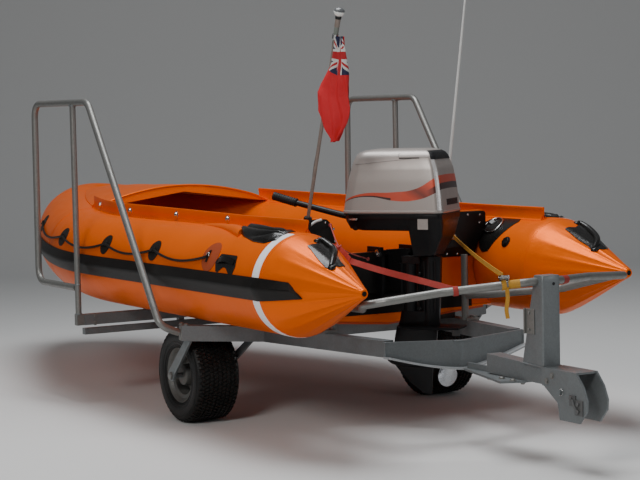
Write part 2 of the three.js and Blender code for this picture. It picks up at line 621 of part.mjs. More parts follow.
// Keel beam forward to the nose leg, with a cross bar, chock and pivot lugs.
add('keel_beam', unite([
  block(1415.4, 3700, -30, 30, 436, 496),
  block(2930, 2990, -470, 470, 454, 514.3),
  block(noseLegX - 34, noseLegX + 34, 25, 34, 366, 440),
  block(noseLegX - 34, noseLegX + 34, -34, -25, 366, 440),
]), 'steel');
add('bow_chock', plate('yz', [[-70, 496.4], [70, 496.4], [90, 552.6], [0, 543.8], [-90, 552.6]], 3560, 3680), 'bunk');
for (const [sideName, side] of sides) {
  add(`bunk_${sideName}`, plate('yz', [[side * 355, 514.7], [side * 445, 514.7], [side * 445, 548.2], [side * 355, 541.5]], 1040, 2990), 'bunk');
}
add('cross_forward', unite([
  block(2530, 2580, -1040, -30.4, 454, 514.3), block(2530, 2580, 30.4, 1040, 454, 514.3),
  block(2536, 2574, -1040, 1040, 400, 435.6), block(2530, 2580, -60, -30.4, 400, 500), block(2530, 2580, 30.4, 60, 400, 500),
]), 'steel');

// Tube hoops at the sides, with a middle post and a bottom rail.
for (const [sideName, side] of sides) {
  const y = side * hoopY;
  const rim = bend([V(2575, y, 664), V(3136, y, 664), V(3120, y, 1700), V(2345, y, 1700), V(1500, y, 545), V(1494, side * 964.5, 503)], 90, 4);
  add(`hoop_${sideName}`, unite([
    rod(rim, barRadius, 10),
    rod([V(2555, y, 454), V(2555, y, 1694)], 17, 10),
    block(2536, 2574, side > 0 ? 1040.4 : -1085, side > 0 ? 1085 : -1040.4, 454, 514),
  ]), 'steel');
}

// Wheel forks: two arms down to the axle on either side of each tyre.
for (const [sideName, side] of sides) {
  const arm = (y, topX, topZ) => plate('xz', [[topX - 34, topZ], [topX + 34, topZ], [wheelX + 34, 270], [wheelX + 20, 226],
    [wheelX - 22, 226], [wheelX - 40, 262]], y - 6, y + 6);
  add(`wheel_fork_${sideName}`, unite([
    arm(side * 912, 1492, 456.4), arm(side * 602, 1408, 436.6),
    turned([[0, 594], [13, 594], [13, 922], [0, 922]], V(0, side, 0), V(wheelX, 0, tyreRadius), 12),
  ]), 'steel');
}

// Wheels: pressed rim and balloon tyre.
for (const [sideName, side] of sides) {
  const at = V(wheelX, side * wheelY, tyreRadius);
  const w = tyreWidth / 2;
  add(`rim_${sideName}`, turned([
    [13.4, -92], [44, -92], [48, 20], [96, 34], [104, 88], [126, 92], [140, 112], [146, 112], [134, 84], [122, 76], [122, -76],
    [134, -84], [146, -112], [140, -112], [118, -92], [108, 20], [60, 8], [56, 92], [44, 100], [13.4, 100],
  ].reverse(), V(0, side, 0), at, 28), 'steel');
  add(`tyre_${sideName}`, turned([
    [134.9, -84], [150, -115], [175, -w + 4], [205, -w], [236, -w + 8], [248, -w + 30], [tyreRadius, -50], [tyreRadius, 50],
    [248, w - 30], [236, w - 8], [205, w], [175, w - 4], [150, 115], [134.9, 84],
  ], V(0, side, 0), at, 40), 'tyre');
}

// Folding nose leg, standing on the floor.
add('nose_leg', unite([
  block(noseLegX - 19, noseLegX + 19, -18, 18, 6, pivotZ + 19),
  block(noseLegX - 28, noseLegX + 28, -60, 60, 0, 8),
  turned([[0, -24.6], [9, -24.6], [9, 24.6], [0, 24.6]], V(0, 1, 0), V(noseLegX, 0, pivotZ), 12),
]), 'steel');

// Webbing lashing from the port cone to the stern bar.
const webbing = [[352, 623, 937], [200, 540, 894], [0, 424, 846], [-112.2, 355, 818]];
const webRow = (lift, drop) => webbing.map(([x, y, z]) => V(x, y, z + lift - drop));
add('lashing', sheetLoft([webRow(0, 0), webRow(0, 34)], [
  webRow(0, 0).map((p) => p.clone().add(V(-1.6, 2, 0))), webRow(0, 34).map((p) => p.clone().add(V(-1.6, 2, 0)))]), 'webbing');

export default part;
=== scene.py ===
# Inshore rescue boat on its launching trolley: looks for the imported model
from functools import partial
from math import atan2, cos, pi, radians, sin, sqrt, tan

import bmesh
import bpy
from mathutils import Matrix, Vector, noise


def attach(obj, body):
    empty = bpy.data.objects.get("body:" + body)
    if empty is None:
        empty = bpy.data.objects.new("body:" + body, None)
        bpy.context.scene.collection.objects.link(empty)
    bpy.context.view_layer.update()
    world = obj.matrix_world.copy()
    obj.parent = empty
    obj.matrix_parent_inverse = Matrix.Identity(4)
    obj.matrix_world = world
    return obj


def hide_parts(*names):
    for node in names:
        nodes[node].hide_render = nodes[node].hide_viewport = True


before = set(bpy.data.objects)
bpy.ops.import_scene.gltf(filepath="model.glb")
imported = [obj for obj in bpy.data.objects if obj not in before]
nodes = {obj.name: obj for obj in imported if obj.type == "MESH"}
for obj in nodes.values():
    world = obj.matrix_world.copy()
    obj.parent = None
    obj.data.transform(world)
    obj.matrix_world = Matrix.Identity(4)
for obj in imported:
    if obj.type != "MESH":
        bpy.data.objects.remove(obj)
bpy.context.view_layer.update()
hullBody = "boat_on_trolley"
bothSides = (("port", 1), ("starboard", -1))
toBow, toStern, toPort, upward = Vector((1, 0, 0)), Vector((-1, 0, 0)), Vector((0, 1, 0)), Vector((0, 0, 1))
print("frame loaded:", len(nodes), "nodes")

# Lengths are in metres and x is counted from the tips of the stern cones, as on the boat's
# own drawing, until place() moves a point to the frame.
boatShift = -2.1654


def place(x, y, z):
    return Vector((x + boatShift, y, z))


def blend(a, b, t):
    return a + (b - a) * t


# values from a to b in even steps
def spread(a, b, steps):
    return [blend(a, b, k / steps) for k in range(steps + 1)]


# angles round a full turn; extra repeats the first ones to close a path
def turnAngles(count, extra=0):
    return [2 * pi * k / count for k in range(count + extra)]


# ring of points about a centre in the plane of u and v
def circle(centre, u, v, radius, count, extra=0):
    return [centre + u * (radius * cos(a)) + v * (radius * sin(a)) for a in turnAngles(count, extra)]


def vectors(*rows):
    return [Vector(row) for row in rows]


def places(*rows):
    return [place(*row) for row in rows]


def addObject(name, data):
    item = bpy.data.objects.new(name, data)
    bpy.context.scene.collection.objects.link(item)
    return item


# mesh helpers
def makePiece(name, points, faces, material, slot, smooth=38, replaces=(), body=hullBody, uv=None):
    mesh = bpy.data.meshes.new(name)
    mesh.from_pydata([tuple(p) for p in points], [], faces)
    if uv is not None:
        layer = mesh.uv_layers.new(name="flat")
        for loop in mesh.loops:
            layer.data[loop.index].uv = uv[loop.vertex_index]
    bm = bmesh.new()
    bm.from_mesh(mesh)
    bmesh.ops.remove_doubles(bm, verts=bm.verts, dist=1e-6)
    bmesh.ops.recalc_face_normals(bm, faces=bm.faces)
    for face in bm.faces:
        face.smooth = smooth > 0
    for edge in bm.edges:
        if len(edge.link_faces) == 2 and edge.calc_face_angle() > radians(max(smooth, 1)):
            edge.smooth = False
    bm.to_mesh(mesh)
    bm.free()
    piece = addObject(name, mesh)
    mesh.materials.append(material)
    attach(piece, body)
    if replaces:
        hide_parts(*replaces)
    return piece


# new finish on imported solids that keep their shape
def dress(material, *names):
    for name in names:
        nodes[name].data.materials.clear()
        nodes[name].data.materials.append(material)


# points and faces gathered from several simple bodies into one piece
class Shape:
    def __init__(self):
        self.points, self.faces = [], []

    def add(self, points, faces):
        start = len(self.points)
        self.points += [Vector(p) for p in points]
        self.faces += [tuple(start + i for i in f) for f in faces]
        return self

    # skin over rings of equal length, with a fan at each end unless the rings close on themselves
    def rings(self, rings, capped=True, closed=True):
        n = len(rings[0])
        points = [p for ring in rings for p in ring]
        faces = []
        for r in range(len(rings) - 1):
            for i in range(n if closed else n - 1):
                j = (i + 1) % n
                faces.append((r * n + i, r * n + j, (r + 1) * n + j, (r + 1) * n + i))
        if capped:
            for start, flip in ((0, True), ((len(rings) - 1) * n, False)):
                middle = sum((points[start + i] for i in range(n)), Vector()) / n
                points.append(middle)
                c = len(points) - 1
                for i in range(n):
                    j = (i + 1) % n
                    faces.append((c, start + j, start + i) if flip else (c, start + i, start + j))
        return self.add(points, faces)

    def tube(self, path, radius, sides=16, capped=True):
        rings, normal = [], None
        for i, p in enumerate(path):
            ahead = (path[min(i + 1, len(path) - 1)] - path[max(i - 1, 0)]).normalized()
            if normal is None:
                normal = upward if abs(ahead.z) < 0.9 else toBow
            normal = (normal - ahead * normal.dot(ahead)).normalized()
            r = radius[i] if isinstance(radius, (list, tuple)) else radius
            rings.append(circle(p, normal, ahead.cross(normal), r, sides))
        return self.rings(rings, capped)

    # flat band along a path; up gives the broad side's direction at each point
    def ribbon(self, path, width, thickness, side):
        rings = []
        for i, p in enumerate(path):
            ahead = (path[min(i + 1, len(path) - 1)] - path[max(i - 1, 0)]).normalized()
            s = side[i] if isinstance(side, list) else side
            s = (s - ahead * s.dot(ahead)).normalized()
            n = ahead.cross(s)
            w, t = width / 2, thickness / 2
            rings.append([p + s * w + n * t, p - s * w + n * t, p - s * w - n * t, p + s * w - n * t])
        return self.rings(rings)

    def box(self, low, high, turn=None):
        corners = [Vector((x, y, z)) for x in (low[0], high[0]) for y in (low[1], high[1])
            for z in (low[2], high[2])]
        if turn:
            corners = [turn @ c for c in corners]
        return self.add(corners, [(0, 1, 3, 2), (4, 6, 7, 5), (0, 4, 5, 1), (2, 3, 7, 6), (0, 2, 6, 4),
            (1, 5, 7, 3)])

    # turned body: profile of (radius, distance along the axis)
    def turned(self, profile, origin, axis, sides=32, capped=True):
        axis = axis.normalized()
        a = axis.orthogonal().normalized()
        rings = [circle(origin + axis * t, a, axis.cross(a), r, sides) for r, t in profile]
        if not capped:
            rings.append(rings[0])
        return self.rings(rings, capped)

    def moved(self, matrix):
        self.points = [matrix @ p for p in self.points]
        return self

    def piece(self, name, material, slot, smooth=38, **words):
        return makePiece(name, self.points, self.faces, material, slot, smooth, **words)


# bevel modifier set on a piece's edges
def bevelled(piece, width, segments=2, angle=30):
    modifier = piece.modifiers.new("edge", "BEVEL")
    modifier.width = width
    modifier.segments = segments
    modifier.limit_method = "ANGLE"
    modifier.angle_limit = radians(angle)
    return piece


# soft bend in place of corner c between a and b, cut back by at most a share of either side
def cornerCurve(a, c, b, radius, share, steps):
    u, v = a - c, b - c
    half = max(u.angle(v) / 2, 0.2)
    cut = min(radius / tan(half), u.length * share, v.length * share)
    p, q = c + u.normalized() * cut, c + v.normalized() * cut
    return [p * (1 - t) ** 2 + c * (2 * t * (1 - t)) + q * t * t
        for t in (k / steps for k in range(steps + 1))]


def rounded(corners, radius, steps=8):
    path = [corners[0].copy()]
    for a, c, b in zip(corners, corners[1:], corners[2:]):
        path += cornerCurve(a, c, b, radius, 0.48, steps)
    return path + [corners[-1].copy()]


# all corners of a closed outline rounded
def roundedLoop(points, radius, share=0.45, steps=5):
    out = []
    for i, c in enumerate(points):
        out += cornerCurve(points[i - 1], c, points[(i + 1) % len(points)], radius, share, steps)
    return out


# smooth path through given points
def curveThrough(points, steps=10):
    guides = [points[0] * 2 - points[1]] + list(points) + [points[-1] * 2 - points[-2]]
    path = []
    for i in range(1, len(guides) - 2):
        a, b, c, d = guides[i - 1:i + 3]
        for s in range(steps):
            t = s / steps
            path.append(0.5 * ((2 * b) + (c - a) * t + (2 * a - 5 * b + 4 * c - d) * t * t
                + (3 * b - a - 3 * c + d) * t ** 3))
    path.append(points[-1].copy())
    return path


# value between the rows of a small table
def tableValue(table, x):
    if x <= table[0][0]:
        return table[0][1]
    for (x0, y0), (x1, y1) in zip(table, table[1:]):
        if x <= x1:
            t = (x - x0) / (x1 - x0)
            return blend(y0, y1, t)
    return table[-1][1]


# shader helpers
def shaderTree(material):
    material.use_nodes = True
    tree = material.node_tree
    tree.nodes.clear()
    shader = addNode(tree, "BsdfPrincipled")
    addNode(tree, "OutputMaterial", {0: shader.outputs[0]})
    return tree, shader


# a value goes to a socket either as a link or as its setting
def feed(tree, value, socket):
    if isinstance(value, bpy.types.NodeSocket):
        tree.links.new(value, socket)
    else:
        socket.default_value = value


def addNode(tree, kind, values=None, **settings):
    node = tree.nodes.new("ShaderNode" + kind)
    for key, value in settings.items():
        setattr(node, key, value)
    for key, value in (values or {}).items():
        feed(tree, value, node.inputs[key])
    return node


def mathNode(tree, operation, a, b=0.0, c=0.0, clamp=False):
    return addNode(tree, "Math", {0: a, 1: b, 2: c}, operation=operation, use_clamp=clamp).outputs[0]


def rangeNode(tree, value, start, end, first=0.0, last=1.0):
    values = {"Value": value, "From Min": start, "From Max": end, "To Min": first, "To Max": last}
    return addNode(tree, "MapRange", values).outputs[0]


def mixColour(tree, factor, a, b):
    a, b = (value if isinstance(value, bpy.types.NodeSocket) else (*value, 1) for value in (a, b))
    return addNode(tree, "Mix", {0: factor, 6: a, 7: b}, data_type="RGBA").outputs[2]


# empty shader group with its sockets; each input is (name, default)
def newGroup(name, inputs, outputs):
    group = bpy.data.node_groups.new(name, "ShaderNodeTree")
    for label, value in inputs:
        kind = "NodeSocketColor" if isinstance(value, tuple) else "NodeSocketFloat"
        group.interface.new_socket(name=label, in_out="INPUT", socket_type=kind).default_value = value
    for label, kind in outputs:
        group.interface.new_socket(name=label, in_out="OUTPUT", socket_type=kind)
    start, end = group.nodes.new("NodeGroupInput"), group.nodes.new("NodeGroupOutput")
    here = addNode(group, "TexCoord").outputs["Object"]
    return group, start.outputs, end.inputs, here, partial(mathNode, group)


# group shared by most finishes: soft colour drift, settled dust and rubbed patches
def makeWearGroup():
    group, given, out, here, calc = newGroup("driftAndDust", (("Colour", (0.5, 0.5, 0.5, 1)), ("Drift", 0.1),
        ("Drift Size", 0.2), ("Dust Colour", (0.25, 0.23, 0.2, 1)), ("Dust", 0.15), ("Roughness", 0.5),
        ("Roughness Drift", 0.1)), (("Colour", "NodeSocketColor"), ("Roughness", "NodeSocketFloat")))
    size = calc("DIVIDE", 1.0, given["Drift Size"])
    broad = addNode(group, "TexNoise", {"Vector": here, "Scale": size, "Detail": 5.0,
        "Roughness": 0.6}).outputs["Fac"]
    fine = addNode(group, "TexNoise", {"Vector": here, "Scale": calc("MULTIPLY", size, 9.0),
        "Detail": 4.0}).outputs["Fac"]
    swing = calc("MULTIPLY", calc("SUBTRACT", broad, 0.5), calc("MULTIPLY", given["Drift"], 4.0))
    toned = addNode(group, "VectorMath", {0: given["Colour"], "Scale": calc("ADD", swing, 1.0)},
        operation="SCALE")
    settled = calc("MULTIPLY", calc("SUBTRACT", calc("ADD", broad, fine), 0.86),
        calc("MULTIPLY", given["Dust"], 3.2), clamp=True)
    group.links.new(mixColour(group, settled, toned.outputs[0], given["Dust Colour"]), out["Colour"])
    uneven = calc("MULTIPLY", calc("SUBTRACT", fine, 0.5), calc("MULTIPLY", given["Roughness Drift"], 3.0))
    rough = calc("ADD", calc("ADD", given["Roughness"], uneven), calc("MULTIPLY", settled, 0.3), clamp=True)
    group.links.new(rough, out["Roughness"])
    return group


# group for small relief: grain everywhere, with optional woven threads
def makeGrainGroup():
    group, given, out, here, calc = newGroup("fineRelief", (("Grain Size", 0.002), ("Thread Size", 0.002),
        ("Thread Share", 0.0)), (("Height", "NodeSocketFloat"),))
    scale = calc("DIVIDE", 1.0, given["Grain Size"])
    grain = addNode(group, "TexNoise", {"Vector": here, "Scale": scale, "Detail": 3.0}).outputs["Fac"]
    pitch = calc("DIVIDE", 0.35, given["Thread Size"])
    warp, weft = (addNode(group, "TexWave", {"Vector": here, "Scale": pitch},
        bands_direction=way).outputs["Fac"] for way in "XZ")
    threads = calc("MULTIPLY", calc("ADD", warp, weft), 0.5)
    plain = calc("SUBTRACT", 1.0, given["Thread Share"])
    mixed = calc("ADD", calc("MULTIPLY", threads, given["Thread Share"]), calc("MULTIPLY", grain, plain))
    group.links.new(mixed, out["Height"])
    return group


wearGroup = makeWearGroup()
grainGroup = makeGrainGroup()


paleDust = (0.2, 0.185, 0.165)


# A finish with drift (amount, size), dust (amount, colour), relief (grain, height) and thread (share, size);
# extra recolours it before the shader.
def finish(name, colour, roughness, metallic=0.0, drift=(0.08, 0.25), dust=(0.12, paleDust), roughDrift=0.06,
        relief=(0.002, 0.12), thread=(0.0, 0.002), reliefDepth=0.002, coat=0.0, shine=0.5, shineTint=None,
        extra=None):
    material = bpy.data.materials.new(name)
    tree, shader = shaderTree(material)
    base = extra(tree, colour) if extra else (*colour, 1)
    wear = addNode(tree, "Group", {"Colour": base, "Drift": drift[0], "Drift Size": drift[1], "Dust": dust[0],
        "Dust Colour": (*dust[1], 1), "Roughness": roughness, "Roughness Drift": roughDrift},
        node_tree=wearGroup)
    grain = addNode(tree, "Group", {"Grain Size": relief[0], "Thread Size": thread[1],
        "Thread Share": thread[0]}, node_tree=grainGroup)
    bump = addNode(tree, "Bump", {"Strength": relief[1], "Distance": reliefDepth, "Height": grain.outputs[0]})
    for key, value in (("Base Color", wear.outputs["Colour"]), ("Roughness", wear.outputs["Roughness"]),
            ("Metallic", metallic), ("Specular IOR Level", shine), ("Normal", bump.outputs[0])):
        feed(tree, value, shader.inputs[key])
    if coat:
        shader.inputs["Coat Weight"].default_value = coat
        shader.inputs["Coat Roughness"].default_value = 0.2
    if shineTint:
        shader.inputs["Specular Tint"].default_value = (*shineTint, 1)
    return material


# zinc spangle: crystals of slightly different grey under a dull film with white bloom
def spangle(tree, colour):
    here = addNode(tree, "TexCoord").outputs["Object"]
    cells = addNode(tree, "TexVoronoi", {"Vector": here, "Scale": 130.0}).outputs["Color"]
    tone = addNode(tree, "SeparateColor", {"Color": cells}).outputs[0]
    lifted = mixColour(tree, tone, [c * 0.95 for c in colour], [c * 1.06 for c in colour])
    bloom = addNode(tree, "TexNoise", {"Vector": here, "Scale": 7.0, "Detail": 6.0,
        "Roughness": 0.7}).outputs["Fac"]
    bloomMask = mathNode(tree, "MULTIPLY", mathNode(tree, "SUBTRACT", bloom, 0.6), 0.8, clamp=True)
    return mixColour(tree, bloomMask, lifted, (0.32, 0.34, 0.345))


# motor turned about the swivel as in the stored pose, in degrees, and the ends of the stripe on its cowl
motorPlan = {"swivelX": 0.785, "turn": 38, "stripeAft": -0.23, "stripeFore": 0.31}


def motorCoordinates(tree):
    here = addNode(tree, "TexCoord").outputs["Object"]
    swivel = (motorPlan["swivelX"] + boatShift, 0, 0)
    centre = addNode(tree, "VectorMath", {0: here, 1: swivel}, operation="SUBTRACT").outputs[0]
    turned = addNode(tree, "VectorRotate", {"Vector": centre, "Angle": radians(-motorPlan["turn"])},
        rotation_type="Z_AXIS").outputs[0]
    return addNode(tree, "SeparateXYZ", {0: turned}).outputs


# height read from a curve; the first two points are its ends
def curveHeight(tree, along, points):
    node = addNode(tree, "FloatCurve", {"Value": along})
    curve = node.mapping.curves[0]
    for i, point in enumerate(points):
        if i < 2:
            curve.points[i].location = point
        else:
            curve.points.new(*point)
    node.mapping.update()
    return node.outputs[0]


# swept stripe on the cowl sides, red with a dark under-edge, read along the turned motor
def cowlStripe(tree, colour):
    calc = partial(mathNode, tree)
    x, y, z = motorCoordinates(tree)
    along = rangeNode(tree, x, motorPlan["stripeAft"], motorPlan["stripeFore"])
    height = rangeNode(tree, z, 1.1, 1.4)
    top = curveHeight(tree, along, [(0, 0.72), (1, 0.17), (0.1, 0.59), (0.28, 0.42), (0.5, 0.375),
        (0.78, 0.355), (0.93, 0.27)])
    low = curveHeight(tree, along, [(0, 0.47), (1, 0.17), (0.12, 0.32), (0.3, 0.235), (0.46, 0.235),
        (0.7, 0.3), (0.88, 0.27)])
    inside = calc("MULTIPLY", calc("LESS_THAN", height, top), calc("GREATER_THAN", height, low))
    across = rangeNode(tree, height, low, top)
    darkAft = calc("MULTIPLY", rangeNode(tree, along, 0.06, 0.24, 1.0, 0.0), calc("LESS_THAN", across, 0.45))
    fromMiddle = calc("ABSOLUTE", calc("SUBTRACT", calc("ADD", along, calc("MULTIPLY", across, -0.12)), 0.16))
    darkMiddle = rangeNode(tree, fromMiddle, 0.0, 0.12, 0.75, 0.0)
    darkFore = calc("MULTIPLY", calc("GREATER_THAN", along, 0.5), calc("LESS_THAN", across, 0.3))
    dark = calc("MAXIMUM", calc("MAXIMUM", darkAft, darkMiddle), darkFore, clamp=True)
    stripe = mixColour(tree, dark, (0.56, 0.075, 0.035), (0.05, 0.02, 0.018))
    return mixColour(tree, inside, colour, stripe)


# orange coated fabric, black rubbers, steels, motor paints, webbing and small parts
orange = (0.84, 0.128, 0.0)
fabricOrange = finish("coatedOrangeFabric", orange, 0.33, metallic=0.3, drift=(0.07, 0.5),
    dust=(0.02, (0.42, 0.14, 0.05)), relief=(0.0012, 0.1), thread=(0.35, 0.0011), shineTint=(1.0, 0.5, 0.2),
    roughDrift=0.05, shine=0.18)
discOrange = finish("roundPatchFabric", (0.3, 0.045, 0.008), 0.45, drift=(0.1, 0.06),
    dust=(0.1, (0.2, 0.06, 0.03)), relief=(0.0012, 0.15))
padBlack = finish("glossyPadRubber", (0.006, 0.0055, 0.005), 0.29, drift=(0.15, 0.05),
    dust=(0.03, (0.07, 0.055, 0.04)), relief=(0.012, 0.45), shine=0.42)
fabricUnder = finish("hullUnderside", (0.6, 0.08, 0.006), 0.42, drift=(0.1, 0.35),
    dust=(0.15, (0.16, 0.08, 0.04)), relief=(0.0015, 0.14))
rubberBlack = finish("blackRubber", (0.006, 0.005, 0.0045), 0.42, drift=(0.2, 0.1),
    dust=(0.05, (0.06, 0.045, 0.035)), relief=(0.0009, 0.16), shine=0.17)
patchBlack = finish("blackPatchFabric", (0.008, 0.007, 0.006), 0.45, drift=(0.15, 0.06),
    dust=(0.08, (0.1, 0.07, 0.05)), relief=(0.001, 0.25), thread=(0.5, 0.0012), shine=0.2)
bandWhite = finish("reflectiveBand", (0.88, 0.89, 0.9), 0.32, drift=(0.03, 0.1),
    dust=(0.05, (0.45, 0.43, 0.4)), relief=(0.0014, 0.2), thread=(0.6, 0.0016))
deckGrip = finish("soleGrip", (0.035, 0.037, 0.04), 0.75, drift=(0.2, 0.3), dust=(0.35, (0.13, 0.12, 0.105)),
    relief=(0.0028, 0.6))
zinc = finish("galvanisedSteel", (0.175, 0.19, 0.195), 0.46, metallic=0.5, drift=(0.035, 0.5),
    dust=(0.06, (0.15, 0.14, 0.12)), relief=(0.0016, 0.16), roughDrift=0.14, extra=spangle)
zincTube = finish("galvanisedTube", (0.205, 0.205, 0.195), 0.4, metallic=0.55, drift=(0.06, 0.3),
    dust=(0.1, (0.17, 0.145, 0.11)), relief=(0.0014, 0.12), roughDrift=0.14, extra=spangle)
# zinc painted paler for the gusset's flange: a painted highlight for the light its edge catches
flangeHighlightZinc = finish("zincWithPaintedHighlight", (0.4, 0.42, 0.43), 0.42, metallic=0.4, drift=(0.05, 0.2), dust=(0.1, paleDust),
    relief=(0.0014, 0.15))
brightSteel = finish("brightSteel", (0.55, 0.55, 0.54), 0.24, metallic=1.0, drift=(0.08, 0.05),
    dust=(0.1, paleDust), relief=(0.001, 0.05))
bearerRubber = finish("bearerRubber", (0.02, 0.02, 0.019), 0.7, drift=(0.2, 0.2),
    dust=(0.3, (0.1, 0.09, 0.075)), relief=(0.0015, 0.3))
cowlPaint = finish("silverCowlPaint", (0.36, 0.322, 0.298), 0.36, metallic=0.35, drift=(0.03, 0.4),
    dust=(0.06, paleDust), relief=(0.0006, 0.03), roughDrift=0.03, coat=0.2, extra=cowlStripe)
# darker grey for the cowl's lid joint and the grip recess's front end: painted shade in those grooves
seamShadePaint = finish("paintedSeamShade", (0.17, 0.155, 0.145), 0.36, metallic=0.2, drift=(0.05, 0.2),
    dust=(0.08, paleDust), relief=(0.0007, 0.05), coat=0.3)
motorBlack = finish("motorBlackPaint", (0.006, 0.006, 0.007), 0.38, metallic=0.1, drift=(0.1, 0.2),
    dust=(0.04, (0.05, 0.045, 0.04)), relief=(0.0008, 0.05), shine=0.18, coat=0.1)
motorPlastic = finish("motorBlackPlastic", (0.008, 0.008, 0.009), 0.5, drift=(0.1, 0.08),
    dust=(0.06, (0.06, 0.05, 0.045)), relief=(0.0009, 0.3), shine=0.3)
castGrey = finish("greyCasting", (0.105, 0.108, 0.11), 0.44, metallic=0.25, drift=(0.15, 0.1),
    dust=(0.25, (0.12, 0.1, 0.08)), relief=(0.0012, 0.16))
bladeMetal = finish("propellerMetal", (0.52, 0.535, 0.56), 0.3, metallic=0.85, drift=(0.1, 0.05),
    dust=(0.12, (0.3, 0.28, 0.25)), relief=(0.001, 0.08), roughDrift=0.12)
tyreRubber = finish("tyreRubber", (0.0055, 0.0055, 0.0055), 0.44, drift=(0.2, 0.07),
    dust=(0.12, (0.06, 0.052, 0.042)), relief=(0.0011, 0.25), shine=0.26)
strapRed = finish("redWebbing", (0.36, 0.032, 0.024), 0.72, drift=(0.15, 0.06), dust=(0.2, (0.2, 0.1, 0.08)),
    relief=(0.001, 0.55), thread=(0.8, 0.0024), shine=0.3)
strapYellow = finish("ochreWebbing", (0.55, 0.27, 0.028), 0.72, drift=(0.18, 0.05),
    dust=(0.25, (0.25, 0.17, 0.08)), relief=(0.001, 0.55), thread=(0.8, 0.0024), shine=0.3)
staffBrown = finish("varnishedStaff", (0.2, 0.155, 0.13), 0.38, drift=(0.22, 0.06), relief=(0.0014, 0.1),
    coat=0.3)
whipWhite = finish("whipWhite", (0.7, 0.71, 0.69), 0.33, drift=(0.04, 0.2), relief=(0.0008, 0.05))
print("finishes ready:", len(bpy.data.materials))

# Buoyancy tube: straight sides, a drawn-in bow and cone ends
tube = {"radius": 0.248, "side": 0.764, "height": 0.8, "straightEnd": 2.65, "apex": 4.752, "shoulder": 3.35,
    "noseSpread": 0.22, "riseFrom": 2.4, "bowRise": 0.115, "coneJoint": 0.55,
    "cone": [(0, 0.019), (0.006, 0.023), (0.02, 0.029), (0.06, 0.045), (0.2, 0.107), (0.33, 0.165),
    (0.43, 0.208), (0.5, 0.233), (0.55, 0.248)]}
# soft gathers that run along each cone from its cap
gathers = {"end": 0.53, "count": 18, "height": 0.0036, "sink": 0.0016, "sharpness": 2.5}


def riseAt(x):
    s = min(max((x - tube["riseFrom"]) / (tube["apex"] - tube["riseFrom"]), 0), 1)
    return tube["bowRise"] * s * s


# centre line of the port tube: position and outward direction in plan
def centreLine(t):
    if t <= tube["straightEnd"]:
        return Vector((t, tube["side"], tube["height"] + riseAt(t))), toPort
    s = (t - tube["straightEnd"]) / (tube["apex"] - tube["straightEnd"])
    a, b = Vector((tube["straightEnd"], tube["side"])), Vector((tube["shoulder"], tube["side"]))
    c, d = Vector((tube["apex"], tube["noseSpread"])), Vector((tube["apex"], 0))
    p = a * (1 - s) ** 3 + b * (3 * s * (1 - s) ** 2) + c * (3 * s * s * (1 - s)) + d * s ** 3
    v = (b - a) * (3 * (1 - s) ** 2) + (c - b) * (6 * s * (1 - s)) + (d - c) * (3 * s * s)
    v.normalize()
    return Vector((p.x, p.y, tube["height"] + riseAt(p.x))), Vector((-v.y, v.x, 0))


def coneRadius(x):
    table = tube["cone"]
    for i in range(1, len(table)):
        (x0, y0), (x1, y1) = table[i - 1], table[i]
        if x <= x1:
            before = table[i - 2] if i > 1 else (x0 - 0.01, y0 - 0.004)
            after = table[i + 1] if i + 1 < len(table) else (x1 + 0.05, y1)
            m0 = (y1 - before[1]) / (x1 - before[0])
            m1 = (after[1] - y0) / (after[0] - x0)
            h, s = x1 - x0, (x - x0) / (x1 - x0)
            return (y0 * (2 * s ** 3 - 3 * s * s + 1) + m0 * h * (s ** 3 - 2 * s * s + s)
                + y1 * (3 * s * s - 2 * s ** 3) + m1 * h * (s ** 3 - s * s))
    return tube["radius"]


# point on the skin: angle 0 is outboard, 90 is up; side is 1 for port and -1 for starboard
def onTube(side, t, angle, lift=0.0):
    if t < tube["coneJoint"]:
        centre, out, radius = Vector((t, tube["side"], tube["height"])), toPort, coneRadius(max(t, 0))
    else:
        centre, out = centreLine(t)
        radius = tube["radius"]
    a = radians(angle)
    if t < gathers["end"]:
        fold = (0.5 + 0.5 * cos(radians(angle * gathers["count"]))) ** gathers["sharpness"]
        radius += (gathers["height"] * fold - gathers["sink"]) * sin(pi * min(t / 0.5, 1)) ** 0.6
    r = radius + lift
    return place(centre.x + out.x * r * cos(a), side * (centre.y + out.y * r * cos(a)), centre.z + r * sin(a))


def makeTubeSkin():
    count = 144
    alongCone = [0.0, 0.004, 0.01, 0.02, 0.035] + [0.06 + 0.49 * i / 26 for i in range(27)]
    alongSide = [tube["coneJoint"] + (tube["straightEnd"] - tube["coneJoint"]) * i / 18 for i in range(1, 19)]
    alongBow = [tube["straightEnd"] + (tube["apex"] - tube["straightEnd"]) * i / 64 for i in range(1, 65)]
    half = alongCone + alongSide + alongBow
    angles = [360 * i / count for i in range(count)]
    shape = Shape()
    shape.rings([[onTube(1, t, a) for a in angles] for t in half]
        + [[onTube(-1, t, a) for a in angles] for t in reversed(half[:-1])])
    return shape.piece("tubeSkin", fabricOrange, "fabric", 50,
        replaces=("sponson_port", "sponson_starboard", "cone_port", "cone_starboard", "bow_tube"))


makeTubeSkin()


# flat goods laid on the tube: rows of (position, first angle, last angle), with a thin edge
def tubePatch(name, side, rows, material, lift, across, slot, sink=0.0004):
    shape = Shape()
    rings = []
    if rows[0][2] - rows[0][1] >= 360:
        # a tape that goes all the way round is skinned along its run, so it closes without a joint
        for i in range(across + 1):
            angle = 360 * (i % across) / across
            rings.append([onTube(side, t, angle, lift) for t, a, b in rows]
                + [onTube(side, t, angle, -sink) for t, a, b in reversed(rows)])
        return shape.rings(rings, capped=False).piece(name, material, slot, 32)
    for t, a0, a1 in rows:
        top = [onTube(side, t, a, lift) for a in spread(a0, a1, across)]
        under = [onTube(side, t, a, -sink) for a in spread(a0, a1, across)]
        rings.append(top + under[::-1])
    return shape.rings(rings).piece(name, material, slot, 32)


